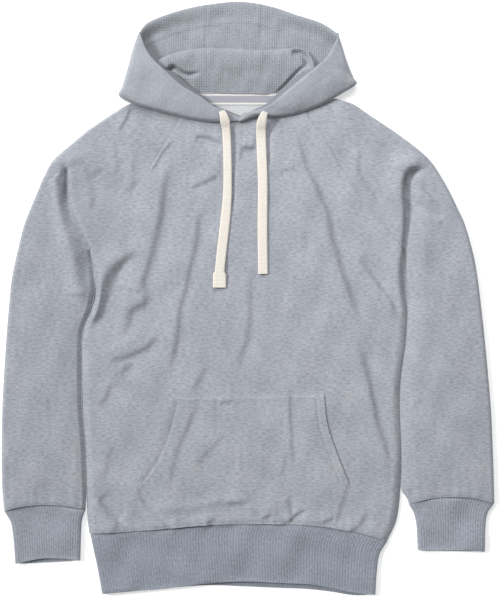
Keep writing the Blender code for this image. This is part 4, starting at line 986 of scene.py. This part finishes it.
def flapPlace(table, corner, bands, tilt):
    share = hood["cornerRow"] / hood["rows"]

    def place(u, v):
        station = stages(v, share, 0.0, corner, table[-1].station)
        rim = [read(table, station, name) for name in ("rimX", "rimY", "rimZ")]
        fold = [read(table, station, name) for name in ("foldX", "foldY", "foldZ")]
        wide = np.maximum(station, 1.0)
        inX = read(table, wide, "rimX") - read(table, wide, "foldX")
        inY = read(table, wide, "rimY") - read(table, wide, "foldY")
        size = np.hypot(inX, inY)
        inside = 1.0 - np.clip(u / hood["bandShare"], 0.0, 1.0)     # 1 at the band's lower edge
        part = bunched(np.clip((u - hood["bandShare"]) / (1.0 - hood["bandShare"]), 0.0, 1.0), 0.5)
        band, drop = read(bands, station, "width"), read(bands, station, "drop")
        width = np.maximum(np.hypot(fold[0] - rim[0], fold[1] - rim[1]), 0.001)
        x = mix(rim[0], fold[0], part) + inX / size * band * inside
        y = mix(rim[1], fold[1], part) + inY / size * band * inside
        top = rim[2] - 0.6 * part * np.maximum(rim[2] - hood["flapLie"], 0.0)
        top -= tilt * part * ease((width - 24.0) / 30.0)
        top += hood["crown"] * ease(width / hood["fullWidth"]) * np.sin(math.pi * part)
        top += 0.8 * rippleRelief(x * 1.5, y * 1.5) * np.sin(math.pi * part)
        near = part * width
        top -= 0.25 * hump(near - hood["casing"], 2.6) * ease((width - 36.0) / 12.0)
        top -= 1.2 * (1.0 - roll(near, hood["rimRoll"])) * ease(width / 12.0)
        turn = np.maximum(np.minimum(hood["foldRoll"], 0.7 * width), 0.001)
        z = mix(fold[2], top, roll((1.0 - part) * width, turn)) - drop * inside ** hood["bandCurve"]
        beyond = np.clip((1.0 - part) * width - 2.0, 0.0, noStitch)
        stitch = np.where(station > corner, beyond, noStitch)
        turned = {"u": x * 0.6 - y * 0.8, "v": x * 0.8 + y * 0.6}      # the knit runs along the flap
        # inner gives the hem band's inner face its painted shade
        return laid(x, y, z, stitchSide=stitch, stitchRun=station * 20.0, inner=ease(inside / 0.15)) | turned

    return place


def hoodFloorPlace(table, corner, seamX):
    foot = [getattr(table[int(corner)], name) for name in ("foldX", "foldY", "foldZ")]
    top = [getattr(table[0], name) for name in ("foldX", "foldY", "foldZ")]

    def place(u, v):
        part = bunched(u, 0.55)
        side = [read(table, v * corner, name) for name in ("foldX", "foldY", "foldZ")]
        rise = (side[1] - foot[1]) / (top[1] - foot[1])
        bulgeX = side[0] - mix(foot[0], top[0], rise)
        lowX, lowY = mix(foot[0], seamX, part), mix(foot[1], hood["footY"], part)
        headX = mix(top[0], seamX, part)
        headY, headZ = read(topRim, headX, "y"), read(topRim, headX, "z")
        x = mix(lowX, headX, rise) + bulgeX * (1.0 - part)
        y = mix(lowY, headY, rise)
        up = side[2] * (1.0 - roll(np.abs(x - side[0]), hood["floorRoll"]))
        lip = headZ * (1.0 - roll(np.hypot(headX - x, headY - y), hood["lipRoll"]))
        z = np.maximum(up, lip)
        z = np.where(part < 1e-6, side[2], z)
        return plain(x, y, z)

    return place


for name, table, bands, corner, tilt, seamX, size in (
        ("hood_left", flapLeft, bandLeft, hood["corners"][0], 0.0, hoodSeams[0], 0.0232),
        ("hood_right", flapRight, bandRight, hood["corners"][1], hood["tilt"], hoodSeams[1], 0.0216)):
    right = seamX > 0
    # in the grids the row at 0 is the hood's top corner, so both grids are turned to face outwards
    patches = [(hood["columns"], hood["rows"], flapPlace(table, corner, bands, tilt), right),
               (hood["floorColumns"], hood["cornerRow"], hoodFloorPlace(table, corner, seamX), right)]
    piece = makeCloth(name, patches, body["fleece"], hoodFleece)


def hoodCentrePlace(u, v):
    x = mix(hoodSeams[1] - body["seam"], hoodSeams[0] + body["seam"], u)
    headY, headZ = read(topRim, x, "y"), read(topRim, x, "z")
    y = mix(hood["footY"], headY, bunched(v, 0.6))
    z = headZ * (1.0 - roll(headY - y, hood["lipRoll"]))
    return plain(x, y, z)


piece = makeCloth("hood_centre", [(30, 60, hoodCentrePlace, False)], body["fleece"], hoodFleece)


# ---- lining, tape and label

print("lining")
lining = {"cloth": 1.4, "sideInset": 8.0, "sideLie": 6.5, "sideWidth": 22.0, "rimInset": 0.1,
          "rimWidth": 22.0, "foldY": 362.0, "pitch": 3.4, "relief": 0.42, "casing": 29.0, "foot": 298.3,
          "seamsFrom": (325.0, 362.0), "sideX": -82.0}
Bulge = namedtuple("Bulge", "run y z")
# the lining from the tape up to the rim: its lower part bulges and rolls over the upper one
liningRise = [
    Bulge(298, 298, 5.4), Bulge(312, 311, 8.4), Bulge(328, 327, 12.2), Bulge(342, 342, 15),
    Bulge(351, 352.5, 15.8), Bulge(356, 358.5, 15), Bulge(359, 361.6, 13.2), Bulge(361, 362.6, 11.2),
    Bulge(363, 361.6, 9), Bulge(365, 359.6, 7.4), Bulge(368, 362, 6.6), Bulge(372, 368, 7),
    Bulge(380, 379, 7.4), Bulge(390, 390, 7.5), Bulge(404, 404, 8.2), Bulge(432, 432, 9),
]
liningFold = [Level(-175, 328), Level(-150, 338), Level(-131, 345), Level(-122, 350.5), Level(-98, 358.6),
              Level(-80, 361.5), Level(-62, 363.2), Level(-44, 363), Level(-17, 362.5), Level(12, 360.5),
              Level(44, 361.5), Level(72, 362.5), Level(84, 359), Level(94, 345), Level(98, 334),
              Level(106, 322), Level(140, 305)]


def waffled(x, y, z):
    wave = 2.0 * math.pi / lining["pitch"]
    pits = (0.5 - 0.5 * np.cos(x * wave)) * mix(0.35, 1.0, 0.5 - 0.5 * np.cos(y * wave))
    worn = np.sin(x * 0.09 + 1.3 * np.sin(y * 0.07)) * np.sin(y * 0.11 + 0.8 * np.sin(x * 0.05))
    pits *= 0.72 + 0.28 * worn
    # pit also sets the waffle's painted shade in its hollows
    return laid(x, y, z - lining["relief"] * pits, pit=pits)


Crease = namedtuple("Crease", "path depth width")
liningCreases = [    # a negative depth is a ridge
    Crease([(-124, 327), (-117, 330), (-108, 335.5), (-98.6, 330.5), (-89.5, 327), (-80, 327), (-66, 330)],
           5.5, 2.8),
    Crease([(-116, 333), (-108, 326), (-99, 317)], 3.5, 7.0),
    Crease([(-122, 343), (-104, 344), (-84, 345)], -1.2, 6.0),
    Crease([(-40, 336), (-12, 328), (18, 334)], 1.2, 8.0),
    Crease([(62, 355), (71, 355), (78, 352.5), (83, 348), (85.5, 341), (86, 332)], 6.5, 3.8),
    Crease([(62, 365), (76, 363), (87, 357), (93.5, 348), (97, 336), (97, 324)], -3.2, 4.0),
    Crease([(87, 340), (80, 336), (73, 331), (60, 318), (47.4, 305), (38, 297)], 4.0, 2.6),
]


def liningPoint(x, y, headY, headZ, sideX):
    # y is where the point would be without the roll; gives the point's own y and z
    shift = lining["foldY"] - read(liningFold, x, "z")
    level = y + shift
    soft = ease((headY - y) / 30.0)
    rolled = mix(level, read(liningRise, level, "y"), soft)
    height = read(liningRise, level, "z")
    beside = ease(np.abs(x - sideX) / lining["sideWidth"])
    height = np.maximum(height, mix(lining["sideLie"], height, beside))
    gap = headY - y
    rim = ease((lining["rimWidth"] - gap) / (lining["rimWidth"] - 3.0))
    height = mix(height, headZ + 0.9, rim) - 0.9 * hump(gap, 2.5)
    casing = gap - lining["casing"]
    height = height + 0.35 * hump(casing, 3.0) - 0.15 * hump(casing - 3.5, 2.0)
    for seam, lowest in zip(hoodSeams, lining["seamsFrom"]):
        wander = seam + 1.5 * np.sin(y * 0.045)
        shown = ease((y - lowest) / 12.0)
        height = height - shown * (0.3 * hump(x - wander, 1.8) - 0.2 * hump(np.abs(x - wander) - 5.0, 2.5))
    for crease in liningCreases:
        distance, along = nearPath(smoothPath(crease.path, 3.0), x, y)
        fade = ease(along / 0.2) * ease((1.0 - along) / 0.3)
        height = height - crease.depth * hump(distance, crease.width) * fade
    height = height + 0.9 * rippleRelief(x * 2.0, y * 2.0) * (1.0 - rim)
    return rolled - shift, height


def liningPlace(table, corner, seamX):
    right = seamX > 0

    def place(u, v):
        part = 1.0 - u if right else u
        station = corner * (1.0 - v)
        inset = mix(lining["sideInset"], 1.2, ease(v))
        sideX = read(table, station, "foldX") - (inset if right else -inset)
        sideY = read(table, station, "foldY") + 2.0
        x = mix(sideX, seamX, part)
        headY, headZ = read(topRim, x, "y"), read(topRim, x, "z")
        topY = headY - lining["rimInset"]
        y = mix(sideY, mix(lining["foot"], topY, v), ease(part / mix(0.8, 0.01, v ** 1.5)))
        y = np.minimum(y, topY)
        y, z = liningPoint(x, y, headY, headZ, sideX)
        return waffled(x, y, z)

    return place


def liningCentrePlace(u, v):
    x = mix(*hoodSeams, u)
    headY, headZ = read(topRim, x, "y"), read(topRim, x, "z")
    y = mix(lining["foot"], headY - lining["rimInset"], v)
    y, z = liningPoint(x, y, headY, headZ, lining["sideX"])
    return waffled(x, y, z)


for name, place, columns, rows, flat, size in (
        ("lining_left", liningPlace(flapLeft, 5.6, hoodSeams[0]), 150, 165, (0.115, 0.125), 0.0127),
        ("lining_right", liningPlace(flapRight, 4.8, hoodSeams[1]), 170, 165, (0.130, 0.120), 0.0130),
        ("lining_centre", liningCentrePlace, 94, 150, (0.080, 0.128), 0.0101)):
    piece = makeCloth(name, [(columns, rows, place, False)], lining["cloth"], waffle)

Strip = namedtuple("Strip", "left right foot head top cloth")
strips = {"tape": Strip(-82, 52, 282.5, 298.6, 4.5, 1), "label": Strip(-49, 23, 254, 282.7, 3.6, 0.7)}


def stripPlace(strip):
    def place(u, v):
        x, y = mix(strip.left, strip.right, u), mix(strip.foot, strip.head, v)
        edge = np.minimum(y - strip.foot, strip.head - y)
        z = strip.top + 0.12 * np.sin(x * 0.11) + 0.15 * hump(edge - 1.2, 0.8)
        return laid(x, y, z, across=v)

    return place


for name, columns, finish, flat in (("tape", 120, tape, (0.134, 0.0155)),
                                    ("label", 60, label, (0.068, 0.0279))):
    strip = strips[name]
    piece = makeCloth("neck_" + name, [(columns, 24, stripPlace(strip), False)], strip.cloth, finish)
